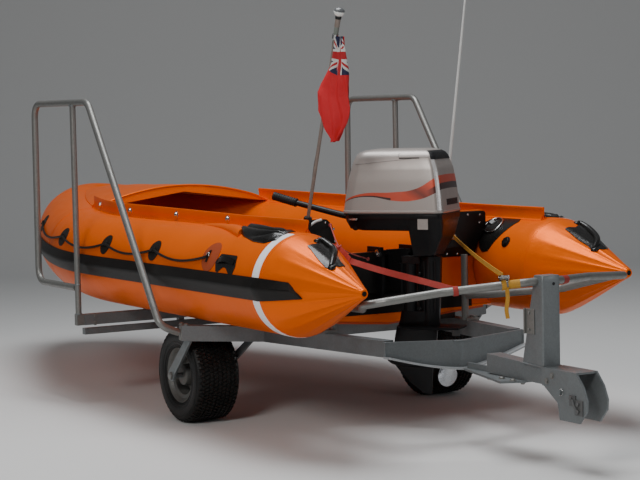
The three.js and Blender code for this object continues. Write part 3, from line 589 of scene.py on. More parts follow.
# White band round the outboard half of each joint over a seam tape that goes all the way round, and plain
# seams. Each entry has the names on both sides, the ends along the tube, the first and last angle, the rows,
# lift, steps across, finish and slot.
tapes = [(("seamTape_port", "seamTape_starboard"), 0.528, 0.64, -180, 180, 6, 0.0009, 112, fabricOrange,
    "fabric"), (("band_port", "band_starboard"), 0.544, 0.606, -92, 80, 4, 0.0019, 70, bandWhite, "white"),
    (("tubeSeam_port", "tubeSeam_starboard"), 3.2, 3.235, -180, 180, 3, 0.001, 112, fabricOrange, "fabric"),
    (("bowSeam", "bowSeamStarboard"), 4.1, 4.14, -180, 180, 3, 0.001, 112, fabricOrange, "fabric")]
for names, t0, t1, first, last, count, lift, across, material, slot in tapes:
    for name, side in zip(names, (1, -1)):
        rows = [(t, first, last) for t in spread(t0, t1, count)]
        tubePatch(name, side, rows, material, lift, across, slot)

# Black tip and its orange collar on each cone
for sideName, side in bothSides:
    tip = place(0, side * tube["side"], tube["height"])
    cap = Shape().turned([(0, -0.0006), (0.009, -0.0006), (0.016, 0.0006), (0.0198, 0.004), (0.0208, 0.009),
        (0.0235, 0.014), (0.0235, 0.016), (0.021, 0.017)], tip, toBow)
    cap.turned([(0, -0.0022), (0.0045, -0.0022), (0.005, -0.0015), (0.005, 0)], tip, toBow, 16)
    cap.piece("coneTip_" + sideName, rubberBlack, "black", 40)
    collar = Shape().turned([(0.0232, 0.0145), (0.0262, 0.015), (0.0292, 0.02), (0.0318, 0.0245),
        (0.03, 0.026)], tip, toBow, 40)
    collar.piece("coneCollar_" + sideName, fabricOrange, "fabric", 40)
print("tubes done")


# Rubbing strake: a broad ridge, darker rubber, its aft ends cut on the slant
strake = {"section": [(-12.8, 0.0012), (11.2, 0.0012), (11.8, 0.0052), (8.5, 0.0108), (3.0, 0.0212),
    (1.6, 0.0246), (-0.4, 0.0246), (-1.8, 0.0222), (-8.0, 0.0126), (-13.3, 0.0055)], "drop": 2,
    "cut": (0.299, 0.368), "upright": 0.45}


def strakeSink(x):
    return strake["drop"] * min(max((x - 0.6) / 4.0, 0), 1)


def makeStrake():
    low, high = strake["cut"]

    def ring(side, t):
        x = centreLine(t)[0].x if t > tube["straightEnd"] else t
        slant = min(max((strake["upright"] - t) / (strake["upright"] - high), 0), 1)
        out = []
        for a, d in strake["section"]:
            at = t - slant * (high - low) * (11.5 - a) / 24.5
            out.append(onTube(side, at, a - strakeSink(x), d + (0.002 if at < tube["coneJoint"] else 0)))
        return out
    half = [high, 0.385, 0.405, 0.425, 0.45, 0.48, 0.51, 0.548, 0.58, 0.62, 0.8, 1.2, 1.6, 2.0, 2.4,
        tube["straightEnd"]]
    half += [tube["straightEnd"] + (tube["apex"] - tube["straightEnd"]) * i / 48 for i in range(1, 49)]
    rings = [ring(1, t) for t in half] + [ring(-1, t) for t in reversed(half[:-1])]
    Shape().rings(rings).piece("rubbingStrake", rubberBlack, "black", 28,
        replaces=("strake_port", "strake_starboard", "strake_bow"))


makeStrake()

# Coaming: upright strip on a glued foot, its top hem rounded, held by press studs
# section: inset, height and share of the sway; what sways in full also rises towards the bow
coaming = {"from": 0.6, "to": 3.3, "steps": 90, "studs": (27, 47, 67, 84), "wave": 0.0016,
    "section": [(0.04, 1.0462, 0), (0.0525, 1.0452, 0), (0.056, 1.052, 0), (0.056, 1.074, 0.6),
    (0.0552, 1.1, 1), (0.0575, 1.105, 1), (0.064, 1.106, 1), (0.0685, 1.103, 1), (0.069, 1.096, 1),
    (0.065, 1.088, 1), (0.064, 1.05, 0), (0.067, 1.043, 0), (0.08, 1.037, 0), (0.079, 1.0345, 0),
    (0.06, 1.04, 0)]}


def makeCoaming(sideName, side):
    rings, hem = [], []
    for i in range(coaming["steps"] + 1):
        t = blend(coaming["from"], coaming["to"], i / coaming["steps"])
        centre, out = centreLine(t)
        sway = coaming["wave"] * sin(t * 7.3) * sin(t * 3.1 + side)
        lift = 0.012 * min(max((t - 1.2) / 1.2, 0), 1)

        def spot(inset, z, extra=0.0):
            return place(centre.x - out.x * (inset + extra), side * (centre.y - out.y * (inset + extra)),
                z + centre.z - tube["height"])
        rings.append([spot(inset, z + (lift if share == 1 else 0), sway * share)
            for inset, z, share in coaming["section"]])
        if i in coaming["studs"]:
            hem.append((spot(0.0556, 1.078), Vector((out.x, side * out.y, 0))))
    Shape().rings(rings).piece("coaming_strip_" + sideName, fabricOrange, "fabric", 42,
        replaces=("coaming_" + sideName,))
    studs = Shape()
    for p, n in hem:
        studs.turned([(0, 0.0125), (0.008, 0.0122), (0.0125, 0.0095), (0.0145, 0.003), (0.02, 0.0015),
            (0.02, -0.002)], p, n, 24)
    studs.piece("coaming_studs_" + sideName, brightSteel, "steel", 40)


for sideName, side in bothSides:
    makeCoaming(sideName, side)


def bowParameter(x):
    lo, hi = tube["straightEnd"], tube["apex"]
    for _ in range(40):
        mid = (lo + hi) / 2
        if centreLine(mid)[0].x < x:
            lo = mid
        else:
            hi = mid
    return lo


# Spray dodger over the bow, pulled tight over two bows with a rolled after edge
dodger = {"rows": [(3.36, 0.11), (3.6, 0.098), (3.88, 0.078), (4.16, 0.052), (4.4, 0.024)], "across": 48,
    "lines": 40, "thick": 0.004, "inset": 0.06, "skin": 0.2495, "edgeDrop": 0.004, "sag": 0.0045,
    "bowStep": 13.3, "hem": 0.0065}


def makeDodger():
    lines = []
    for i in range(dodger["lines"] + 1):
        x = blend(dodger["rows"][0][0], dodger["rows"][-1][0], i / dodger["lines"])
        crown = tableValue(dodger["rows"], x) + dodger["sag"] * (1 - abs(sin(pi * i / dodger["bowStep"])))
        t = bowParameter(x)
        centre, out = centreLine(t)
        edge = centre.y - out.y * dodger["inset"]
        row = []
        for k in range(dodger["across"] + 1):
            s = k / dodger["across"]
            w = abs(2 * s - 1)
            row.append(place(centre.x - out.x * dodger["inset"] * w, edge * (2 * s - 1),
                centre.z + dodger["skin"] - dodger["edgeDrop"] * w ** 6 + crown * sin(pi * s) ** 0.8))
        lines.append(row)
    under = Vector((0, 0, dodger["thick"]))
    shape = Shape()
    shape.rings([row + [p - under for p in reversed(row)] for row in lines])
    rim = curveThrough([p - under / 2 for p in lines[0][::4]], 5)
    shape.tube(rim, dodger["hem"], 12)
    shape.piece("sprayDodger", fabricOrange, "fabric", 45, replaces=("bow_dodger",))


makeDodger()
dress(fabricUnder, "hull")
dress(deckGrip, "deck")
print("hull dressed")


# Patches and fittings on the tubes
def patchShape(side, outline, material, name, lift=0.002, slot="black", rings=5):
    # outline: points of (position, angle) around the patch, drawn in towards its middle
    shape = Shape()
    n = len(outline)
    mid = (sum(p[0] for p in outline) / n, sum(p[1] for p in outline) / n)
    loops = []
    for k in range(1, rings + 1):
        s = k / rings
        loops.append([onTube(side, blend(mid[0], t, s), blend(mid[1], a, s), lift) for t, a in outline])
    loops.append([onTube(side, t, a, -0.0005) for t, a in outline])
    shape.rings(loops, capped=False)
    centre = len(shape.points)
    shape.points.append(onTube(side, mid[0], mid[1], lift))
    shape.faces += [(centre, i, (i + 1) % n) for i in range(n)]
    base = len(shape.points)
    shape.points.append(onTube(side, mid[0], mid[1], -0.0005))
    last = (len(loops) - 1) * n
    shape.faces += [(base, last + (i + 1) % n, last + i) for i in range(n)]
    return shape.piece(name, material, slot, 30)


def softOutline(corners, radius, gap=0.02):
    # rounds the corners of a closed (position, angle) outline; angles count as arc length while rounding
    scale = radians(1) * tube["radius"]
    out = roundedLoop([Vector((t, a * scale, 0)) for t, a in corners], radius)
    full = []
    for i, p in enumerate(out):
        q = out[(i + 1) % len(out)]
        parts = max(1, int((q - p).length / gap))
        full += [p.lerp(q, k / parts) for k in range(parts)]
    return [(p.x, p.y / scale) for p in full]


def roundOutline(t, angle, radius, sides=44):
    scale = radians(1) * tube["radius"]
    return [(t + radius * cos(a), angle + radius * sin(a) / scale) for a in turnAngles(sides)]


def normalOn(side, t, angle):
    return (onTube(side, t, angle, 0.02) - onTube(side, t, angle, 0)).normalized()


def acrossTube(side, t, angle):
    return normalOn(side, t, angle).cross(toBow)


def ringOn(name, side, t, angle, radius, wire, tiltOut=0.35):
    # stainless D-ring lying against its patch: straight back under a webbing keeper, round front
    n = normalOn(side, t, angle)
    across = n.cross(toBow).normalized()
    origin = onTube(side, t, angle, wire + 0.0035)
    path = []
    for i in range(25):
        a = pi * i / 24
        path.append(origin + toBow * (radius * cos(a)) - across * (side * radius * 1.15 * sin(a))
            + n * (tiltOut * radius * sin(a)))
    path = [path[0]] + path + [path[-1]] + [path[0]]
    Shape().tube(path, wire, 12).piece(name, brightSteel, "steel", 50)
    rows = []
    for i in range(13):
        a = pi * i / 12
        rows.append(origin + across * (0.01 * cos(a)) + n * ((wire + 0.0018) * sin(a) - 0.002))
    rows = [rows[0] + across * 0.022 - n * 0.0015] + rows + [rows[-1] - across * 0.022 - n * 0.0015]
    keeper = Shape().ribbon(rows, radius * 1.35, 0.0016, toBow)
    keeper.piece(name + "_keeper", patchBlack, "black", 45)


# round outboard patch with its small ring, and the dark grab line that runs forward from it
patchShape(1, roundOutline(1.079, 29.6, 0.08), discOrange, "roundPatch_port", slot="fabric")
ringOn("ring_port", 1, 1.1, 29, 0.013, 0.0028)
lineGap, linePatches, lineAngle = 0.62, 5, 28
for sideName, side in bothSides:
    stations = [1.1 + lineGap * i for i in range(linePatches)]
    for i, t in enumerate(stations):
        if i or side < 0:
            patchShape(side, roundOutline(t, lineAngle, 0.058), patchBlack, "linePatch_%s_%d" % (sideName, i),
                lift=0.0024)
    path = []
    for t in stations[:-1]:
        for k in range(16):
            path.append(onTube(side, t + lineGap * k / 16, lineAngle - 9 * sin(pi * k / 16) ** 0.9, 0.0085))
    path.append(onTube(side, stations[-1], lineAngle, 0.0085))
    Shape().tube(path, 0.0065, 10).piece("grabLine_" + sideName, patchBlack, "black", 60)
    for i, t in enumerate(stations[1:], 1):
        loop = [onTube(side, t + 0.012 * cos(pi * k / 10), lineAngle, 0.006 + 0.0085 * sin(pi * k / 10))
            for k in range(11)]
        loopShape = Shape().ribbon(loop, 0.026, 0.0018, acrossTube(side, t, lineAngle))
        loopShape.piece("lineLoop_%s_%d" % (sideName, i), patchBlack, "black", 45)

# handle patch abaft the ring: squarish with an arch left open at its lower edge, and a webbing handle
patchShape(1, softOutline([(0.974, 33.7), (0.811, 33.5), (0.792, 20), (0.811, 9.8), (0.843, 10.6),
    (0.852, 16.5), (0.905, 18.4), (0.948, 15.5), (0.958, 11.5), (0.98, 12.5), (1.004, 23.3)], 0.012),
    padBlack, "handlePatch_port", lift=0.0026)
handle = [onTube(1, blend(0.975, 0.815, s / 16), 25 + 2 * sin(pi * s / 16),
    0.004 + 0.016 * sin(pi * s / 16) ** 0.7) for s in range(17)]
Shape().ribbon(handle, 0.03, 0.0032, acrossTube(1, 0.9, 24)).piece("handle_port", padBlack, "black", 45)


# surface raised over the tube between a lower and an upper edge, its height given by lift(u, v)
def raisedPad(name, side, lower, upper, lift, material, slot, columns=40, lines=26):
    grid = []
    for c in range(columns + 1):
        u = c / columns
        t0, a0 = tableValue([(p[0], p[1]) for p in lower], u), tableValue([(p[0], p[2]) for p in lower], u)
        t1, a1 = tableValue([(p[0], p[1]) for p in upper], u), tableValue([(p[0], p[2]) for p in upper], u)
        grid.append([(blend(t0, t1, k / lines), blend(a0, a1, k / lines), lift(u, k / lines))
            for k in range(lines + 1)])
    rings = [[onTube(side, t, a, h) for t, a, h in row] + [onTube(side, t, a, -0.0005)
        for t, a, h in reversed(row)] for row in grid]
    return Shape().rings(rings).piece(name, material, slot, 50)


# pleated saddle over each tube beside the transom, its folds fanning forward from the aft end
def saddleLift(u, v):
    rim = min(1, 9 * u, 0.7 + 9 * (1 - u), 10 * v)
    fan = atan2(v - 0.55, u * 1.15 + 0.1)
    pleat = abs(sin(6.4 * fan + 0.5)) ** 0.8
    body = sin(pi * (u * 0.5 + 0.12)) ** 0.6
    return 0.003 + rim ** 0.6 * body * (0.008 + 0.022 * pleat * sin(pi * (0.08 + 0.86 * v)))


def stripLift(u, v):
    return 0.0006 + 0.029 * min(1, 0.75 + 2 * u) * (1 - u) ** 0.7 * sin(pi * v ** 0.8) ** 0.75


for sideName, side in bothSides:
    raisedPad("saddle_" + sideName, side, [(0, 0.585, 61), (0.2, 0.663, 54.2), (0.45, 0.777, 55.2),
        (0.75, 0.929, 62.9), (1, 1.026, 72.2)], [(0, 0.64, 94), (1, 1.05, 94.5)], saddleLift, padBlack,
        "black", 56, 40)
    raisedPad("foldStrip_" + sideName, side, [(0, 0.96, 60), (0.25, 1.1, 68), (0.5, 1.256, 76.5),
        (0.75, 1.406, 82.5), (1, 1.56, 87)], [(0, 1.01, 80), (0.2, 1.16, 90), (1, 1.6, 93)], stripLift,
        fabricOrange, "fabric")

# angled black patch with its large D-ring inboard, the inflation valve abaft it
bendOutline = softOutline([(0.772, 107.4), (0.989, 107), (1.022, 120.7), (0.997, 133.5), (0.957, 147.7),
    (0.938, 157.8), (0.9, 164.1), (0.855, 163), (0.84, 158.5), (0.803, 143.6), (0.778, 132.5), (0.752, 115)],
    0.016)
ringPath = [(0.982, 129.6), (0.972, 120), (0.957, 111.9), (0.915, 112.5), (0.875, 118), (0.858, 126),
    (0.862, 134.6), (0.908, 138.8), (0.95, 136), (0.982, 129.6)]
for sideName, side in bothSides:
    patchShape(side, bendOutline, padBlack, "bendPatch_" + sideName, lift=0.0026)
    wire = curveThrough([onTube(side, t, a, 0.0075) for t, a in ringPath], 6)
    Shape().tube(wire, 0.0042, 10).piece("ring_inboard_" + sideName, brightSteel, "steel", 60)
    keeper = [onTube(side, t, 121, h) for t, h in ((0.925, 0.003), (0.95, 0.004), (0.958, 0.0125),
        (0.972, 0.0145), (0.986, 0.011), (0.998, 0.0035), (1.008, 0.003))]
    keeperShape = Shape().ribbon(keeper, 0.026, 0.0018, acrossTube(side, 0.97, 121))
    keeperShape.piece("ringKeeper_" + sideName, padBlack, "black", 45)
    spot, n = onTube(side, 0.721, 149, 0), normalOn(side, 0.721, 149)
    valve = Shape().turned([(0.03, -0.001), (0.03, 0.003), (0.028, 0.0055), (0.0225, 0.0065), (0.0225, 0.01),
        (0.02, 0.012), (0.006, 0.0125), (0, 0.0125)], spot, n, 36)
    for a in turnAngles(6):
        u = n.orthogonal().normalized()
        v = n.cross(u)
        valve.turned([(0.0035, 0.0115), (0.0035, 0.0145), (0, 0.0148)],
            spot + u * 0.0165 * cos(a) + v * 0.0165 * sin(a), n, 8)
    valve.piece("valve_" + sideName, rubberBlack, "black", 35)

# glossy pad on each cone with a thick moulded handle along its inboard edge
conePads = [("port", 1, [(0.414, 75), (0.415, 90), (0.443, 99), (0.477, 110.4), (0.452, 120), (0.382, 116),
    (0.328, 110.5), (0.255, 104), (0.205, 105), (0.209, 85), (0.214, 63.7), (0.231, 59.5), (0.278, 65.3),
    (0.382, 74.5)], [(0.443, 96), (0.435, 101.4), (0.396, 104.5), (0.363, 107), (0.319, 103.2), (0.269, 90.3),
    (0.217, 70)]), ("starboard", -1, [(0.43, 106), (0.418, 88.7), (0.462, 70.8), (0.484, 66), (0.4, 65),
    (0.3, 63), (0.215, 66), (0.195, 80.3), (0.2, 107.3), (0.218, 118), (0.256, 112), (0.321, 111.6),
    (0.39, 107.5)], [(0.478, 74), (0.467, 70), (0.42, 67), (0.36, 68), (0.3, 74), (0.25, 87.8),
    (0.214, 112)])]
for sideName, side, outline, loop in conePads:
    patchShape(side, softOutline(outline, 0.01), padBlack, "conePad_" + sideName, lift=0.005)
    count = len(loop) - 1
    path = curveThrough([onTube(side, t, a, 0.006 + 0.007 * sin(pi * min(max(i, 0.15),
        count - 0.15) / count) ** 0.5) for i, (t, a) in enumerate(loop)], 7)
    thick = [0.0115 + 0.0055 * sin(pi * i / (len(path) - 1)) for i in range(len(path))]
    grip = Shape().tube(path, thick, 16)
    for t, a in (loop[0], loop[-1]):
        grip.turned([(0.02, -0.003), (0.019, 0.006), (0.013, 0.011), (0, 0.0125)], onTube(side, t, a, 0.001),
            normalOn(side, t, a), 24)
    grip.piece("coneHandle_" + sideName, padBlack, "black", 50)
print("tube fittings done")


# Transom: board with its rubbing pads; their edges rounded, screws and a drain with its bung
def boardPlate(name, corners, aft, fore, edge, material, node, slot, radius=0.02):
    points = [Vector((y, z, 0)) for y, z in corners]
    outline = []
    for i, c in enumerate(points):
        a, b = points[i - 1], points[(i + 1) % len(points)]
        nearlyStraight = (a - c).angle(b - c) > radians(165)
        outline += [c] if nearlyStraight else cornerCurve(a, c, b, radius, 0.4, 4)
    n = len(outline)
    area = sum(outline[i - 1].x * outline[i].y - outline[i].x * outline[i - 1].y for i in range(n))
    inward = []
    for i in range(n):
        d = (outline[(i + 1) % n] - outline[i - 1]).normalized() * (1 if area > 0 else -1)
        inward.append((-d.y, d.x))
    rings = []
    for x, inset in ((aft, edge), (aft + edge * 0.3, edge * 0.3), (aft + edge, 0), (fore - edge, 0),
            (fore - edge * 0.3, edge * 0.3), (fore, edge)):
        rings.append([place(x, p.x + dy * inset, p.y + dz * inset) for p, (dy, dz) in zip(outline, inward)])
    shape = Shape()
    shape.rings(rings, capped=False)
    shape.faces.append(tuple(range(n)))
    shape.faces.append(tuple(range((len(rings) - 1) * n, len(rings) * n))[::-1])
    return shape.piece(name, material, slot, 35, replaces=(node,))


board = {"aft": 0.965, "fore": 1.005, "notchHalf": 0.36, "notchTop": 0.9, "wingTop": 1.085}


def mirrored(half):
    return half + [(-y, z) for y, z in reversed(half) if y > 0]


def boardSide(z, clear=0.0019):
    return tube["side"] - sqrt(tube["radius"] ** 2 - (z - tube["height"]) ** 2) - clear


notch = [(board["notchHalf"] + 0.03, board["wingTop"]), (board["notchHalf"], board["wingTop"] - 0.03),
    (board["notchHalf"] - 0.03, board["notchTop"])]
heights = [0.585 + 0.0198 * i for i in range(21)]
boardPlate("transomBoard", mirrored([(0, 0.53), (0.56, 0.578)] + [(boardSide(z), z) for z in heights]
    + [(0.596, board["wingTop"])] + notch), board["aft"], board["fore"], 0.004, fabricOrange, "transom",
    "fabric")
boardPlate("transomFacing", mirrored([(0, 0.69), (0.23, 0.69), (0.25, 0.848), (0.508, 0.848), (0.528, 0.9),
    (0.544, 0.93), (0.564, 0.964), (0.586, 0.988), (0.586, board["wingTop"] - 0.004)]
    + [(y, z - 0.004 if z > 1 else z) for y, z in notch]), board["aft"] - 0.02, board["aft"] - 0.0005, 0.003,
    rubberBlack, "transom_pad", "black")

Shape().box(place(board["aft"] - 0.0022, -0.5, 0.58), place(board["aft"] + 0.0005, 0.5,
    0.6895)).piece("transomLower", rubberBlack, "black", 30)

# drain tube with its bung on either side, and screws round the facing
drains = {"port": (0.3, 0.76), "starboard": (0.236, 0.8)}
screwSpots = ((0.275, 0.835), (0.335, 0.865), (0.4, 0.862), (0.49, 0.862), (0.545, 1.02), (0.548, 1.062),
    (0.47, 1.066), (0.4, 1.066), (0.352, 1.03), (0.345, 0.97))
for sideName, side in bothSides:
    y, z = drains[sideName]
    drain = Shape().turned([(0.03, 0), (0.03, 0.004), (0.026, 0.007), (0.019, 0.008), (0.019, 0.02),
        (0.012, 0.024), (0, 0.0245)], place(board["aft"] - 0.001, side * y, z), toStern)
    drain.piece("drain_" + sideName, castGrey, "deck", 35)
    screws = Shape()
    for y, z in screwSpots:
        screws.turned([(0.0062, -0.001), (0.0062, 0.0012), (0.0045, 0.0026), (0, 0.003)],
            place(board["aft"] - 0.0198, side * y, z), toStern, 14)
    screws.piece("facing_screws_" + sideName, brightSteel, "steel", 35)
print("transom done")

# Outboard motor, modelled straight ahead about the swivel and then turned with the steering
swivel = place(motorPlan["swivelX"], 0, 0)
motorFrame = Matrix.Translation(swivel) @ Matrix.Rotation(radians(motorPlan["turn"]), 4, "Z")
cowl = [(1.108, -0.224, 0.312, 0.172, 0.07), (1.2, -0.216, 0.3, 0.166, 0.07),
    (1.27, -0.207, 0.288, 0.161, 0.069), (1.33, -0.196, 0.272, 0.154, 0.066),
    (1.362, -0.184, 0.262, 0.147, 0.062), (1.39, -0.174, 0.251, 0.138, 0.06),
    (1.408, -0.162, 0.238, 0.124, 0.056), (1.42, -0.142, 0.208, 0.102, 0.05),
    (1.427, -0.11, 0.16, 0.07, 0.04)]


def cowlSize(z):
    for lower, upper in zip(cowl, cowl[1:]):
        if z <= upper[0]:
            t = (z - lower[0]) / (upper[0] - lower[0])
            return [blend(a, b, t) for a, b in zip(lower[1:], upper[1:])]
    return list(cowl[-1][1:])


# outline of the cowl at one height; runs from the fore port corner round the port side and the aft end
def cowlOutline(z, proud=0.0, arc=9, straight=10):
    aft, fore, w, r = cowlSize(z)
    aft, fore, w, r = aft - proud, fore + proud, w + proud, r + proud
    belly = 0.004 * min((1.43 - z) / 0.1, 1)
    points = []
    corners = ((fore - r, w - r, 0, r), (aft + r * 0.6, w - r * 0.6, 90, r * 0.6),
        (aft + r * 0.6, -(w - r * 0.6), 180, r * 0.6), (fore - r, -(w - r), 270, r))
    for cx, cy, start, radius in corners:
        for k in range(arc + 1):
            a = radians(start + 90 * k / arc)
            points.append(Vector((cx + radius * cos(a), cy + radius * sin(a), z)))
    full = []
    for i, p in enumerate(points):
        full.append(p)
        q = points[(i + 1) % len(points)]
        if (i + 1) % (arc + 1) == 0:
            for k in range(1, straight):
                m = p.lerp(q, k / straight)
                out = Vector(((q - p).normalized().y, -(q - p).normalized().x, 0))
                full.append(m + out * belly * sin(pi * k / straight))
    return full


def onMotor(shape, name, material, slot="motor", smooth=38, replaces=(), body="motor"):
    return shape.moved(motorFrame).piece(name, material, slot, smooth, body=body, replaces=replaces)


def makeCowl():
    levels = [1.108, 1.1085, 1.112, 1.12, 1.1215] + [1.1215 + 0.2 * i / 14 for i in range(1, 15)] + [1.33,
        1.345, 1.362, 1.378, 1.39, 1.4, 1.408, 1.415, 1.42, 1.424, 1.427]
    proud = {0: -0.002, 1: 0.0018, 2: 0.003, 3: 0.0026, 4: 0.0}
    shape = Shape()
    shape.rings([cowlOutline(z, proud.get(i, 0)) for i, z in enumerate(levels)])
    onMotor(shape, "motorCowl", cowlPaint, "cowl", 45, replaces=("top_cowl",))


# strip of the cowl between two heights and two places along its outline
def outlineBand(z0, z1, start, end, proud, rows):
    rings = []
    low = [cowlOutline(z, proud) for z in spread(z0, z1, rows)]
    deep = [cowlOutline(z, -0.004) for z in spread(z0, z1, rows)]
    for i in range(start, end + 1):
        n = i % len(low[0])
        rings.append([low[k][n] for k in range(rows + 1)] + [deep[k][n] for k in reversed(range(rows + 1))])
    return Shape().rings(rings)


makeCowl()
# outline index where the port side begins, and the steps in each part after it
portStraight, cornerArc, sideRun = 10, 9, 10
aftPort = portStraight + cornerArc
aftStarboard = aftPort + sideRun + cornerArc
# pale strip down each rear corner of the cowl: a painted highlight for the light caught on the tight corner
cornerHighlightPaint = finish("paintedCornerHighlight", (0.62, 0.6, 0.59), 0.26, metallic=0.3, drift=(0.02, 0.25),
    dust=(0.05, paleDust), relief=(0.0008, 0.03), coat=0.4)
bands = [("cowlIntake_port", 1.374, 1.4175, aftPort + 3, aftPort + 14, 0.0016, 10, motorPlastic),
    ("cowlIntake_starboard", 1.374, 1.4175, aftPort + 14, aftPort + 25, 0.0016, 10, motorPlastic),
    ("cowlEdge_port", 1.122, 1.38, aftPort + 3, aftPort + 6, 0.0009, 14, cornerHighlightPaint),
    ("cowlEdge_starboard", 1.122, 1.38, aftStarboard + 3, aftStarboard + 6, 0.0009, 14, cornerHighlightPaint),
    ("cowlRearGrille", 1.145, 1.175, aftPort + 11, aftPort + 18, 0.0014, 4, motorPlastic)]
for name, z0, z1, start, end, proud, rows, material in bands:
    onMotor(outlineBand(z0, z1, start, end, proud, rows), name, material, "cowl")


def sideTrack(points, side, proud):
    # points (x, z) laid on the cowl's side
    path = []
    for x, z in points:
        outline = [p for p in cowlOutline(z, proud, arc=12, straight=24) if p.y * side > 0]
        nearest = min(outline, key=lambda p: abs(p.x - x))
        path.append(Vector((x, nearest.y, z)))
    return path


for sideName, side in bothSides:
    # lid joint drawn as a thin darker line: painted shade in the groove
    seam = sideTrack(zip(spread(0.262, -0.15, 24), spread(1.35, 1.386, 24)), side, 0.0002)
    onMotor(Shape().tube(seam, 0.0013, 6), "cowlSeam_" + sideName, seamShadePaint, "cowl")
    # black strip along the grip recess's lower edge: painted shade in its slot
    gripSlotLine = sideTrack([(x, 1.3815) for x in spread(0.002, -0.104, 12)], side, 0.0006)
    onMotor(Shape().ribbon(gripSlotLine, 0.0055, 0.003, upward), "cowlGrip_" + sideName, motorPlastic, "cowl")
    # front end of the grip recess as a thin darker line: painted shade
    onMotor(Shape().ribbon(sideTrack([(0.006, z) for z in (1.384, 1.392, 1.4, 1.408)], side, 0.0004), 0.0016,
        0.0016, toBow), "cowlGripEnd_" + sideName, seamShadePaint, "cowl")
    # cowl latch and plain plate below the joint
    onMotor(Shape().rings([[Vector((x + dx, side * (0.17 + h), 1.0785 + dz))
        for dx, dz in ((-0.003, -0.0045), (0.003, -0.0045), (0.004, 0.0045), (-0.004, 0.0045))]
        for x, h in ((0.262, 0), (0.26, 0.004), (0.25, 0.006), (0.232, 0.007), (0.224, 0.004), (0.222, 0))]),
        "cowlLatch_" + sideName, brightSteel, "steel", 25)
    onMotor(Shape().box((-0.152, side * 0.1678 if side > 0 else -0.17, 1.028),
        (-0.098, 0.17 if side > 0 else -0.1678, 1.08)), "motorPlate_" + sideName,
        finish("plainPlate_" + sideName, (0.36, 0.33, 0.31), 0.45, dust=(0.3, paleDust),
        relief=(0.0012, 0.1)), "steel")


def softSection(corners, radius, x):
    loop = roundedLoop([Vector((0, y, z)) for y, z in corners], radius)
    return [Vector((x, p.y, p.z)) for p in loop]


def makeLowerCowl():
    table = [(-0.22, 1.06, 0.15, 0.12), (-0.205, 0.99, 0.164, 0.11), (-0.15, 0.89, 0.169, 0.08),
        (-0.046, 0.884, 0.169, 0.084), (-0.042, 1.018, 0.169, 0.14), (0.2, 1.02, 0.168, 0.14),
        (0.275, 1.028, 0.14, 0.12), (0.306, 1.06, 0.1, 0.09)]
    sections = []
    for (x0, l0, t0, f0), (x1, l1, t1, f1) in zip(table, table[1:]):
        for k in range(4):
            s = k / 4
            sections.append((blend(x0, x1, s), blend(l0, l1, s), blend(t0, t1, s), blend(f0, f1, s)))
    sections.append(table[-1])
    rings = []
    for x, low, top, foot in sections:
        rings.append(softSection([(top, 1.1074), (top, 1.078), (foot, low), (-foot, low), (-top, 1.078),
            (-top, 1.1074)], 0.018, x))
    onMotor(Shape().rings(rings), "motorTray", motorBlack, smooth=40, replaces=("lower_cowl",))


makeLowerCowl()
gasket = cowlOutline(1.1035, -0.003)
onMotor(Shape().tube(gasket + gasket[:1], 0.0042, 8), "cowlGasket", motorPlastic)
onMotor(Shape().turned([(0, -0.01), (0.017, -0.01), (0.02, -0.005), (0.02, 0.008), (0.016, 0.014),
    (0, 0.016)], Vector((0.246, 0.118, 1.04)), Vector((0.5, 1, -0.25)), 24), "chokeKnob", motorPlastic,
    "motor")


def foilRing(fore, aft, w, z, count=16):
    upper = []
    for k in range(count + 1):
        u = k / count
        x = blend(fore, aft, u)
        thick = w * min(1, (u / 0.5) ** 0.55 if u < 0.5 else 1) * (1 if u < 0.5 else 1
            - 0.7 * ((u - 0.5) / 0.5) ** 1.6)
        upper.append(Vector((x, thick, z)))
    return upper + [Vector((p.x, -p.y, p.z)) for p in reversed(upper[1:])]


def foilLoft(shape, table, steps=6):
    rings = []
    for (f0, a0, w0, z0), (f1, a1, w1, z1) in zip(table, table[1:]):
        for k in range(steps):
            s = k / steps
            rings.append(foilRing(blend(f0, f1, s), blend(a0, a1, s), blend(w0, w1, s), blend(z0, z1, s)))
    rings.append(foilRing(*table[-1]))
    return shape.rings(rings)


leg = Shape()
foilLoft(leg, [(-0.048, -0.165, 0.046, 0.8835), (-0.046, -0.158, 0.04, 0.7), (-0.046, -0.152, 0.036, 0.59),
    (-0.04, -0.15, 0.034, 0.532)])
foilLoft(leg, [(0.052, -0.15, 0.034, 0.6056), (0.06, -0.15, 0.032, 0.56), (0.07, -0.15, 0.028, 0.532)])
leg.box((-0.06, -0.028, 0.8464), (0.036, 0.028, 0.8835))
onMotor(leg, "motorLeg", motorBlack, smooth=40, replaces=("drive_leg",))
ribs = Shape()
for side in (1, -1):
    for x in (-0.085, -0.115, -0.14):
        ribs.tube(vectors((x, side * 0.0405, 0.86), (x, side * 0.0375, 0.73), (x + 0.004, side * 0.034, 0.6)),
            0.0045, 8)
    for z in (0.62, 0.8):
        ribs.turned([(0.008, -0.004), (0.008, 0.003), (0.0055, 0.0048), (0, 0.005)],
            Vector((-0.062, side * 0.041, z)), toPort * side, 6)
onMotor(ribs, "legRibs", motorBlack, smooth=40)

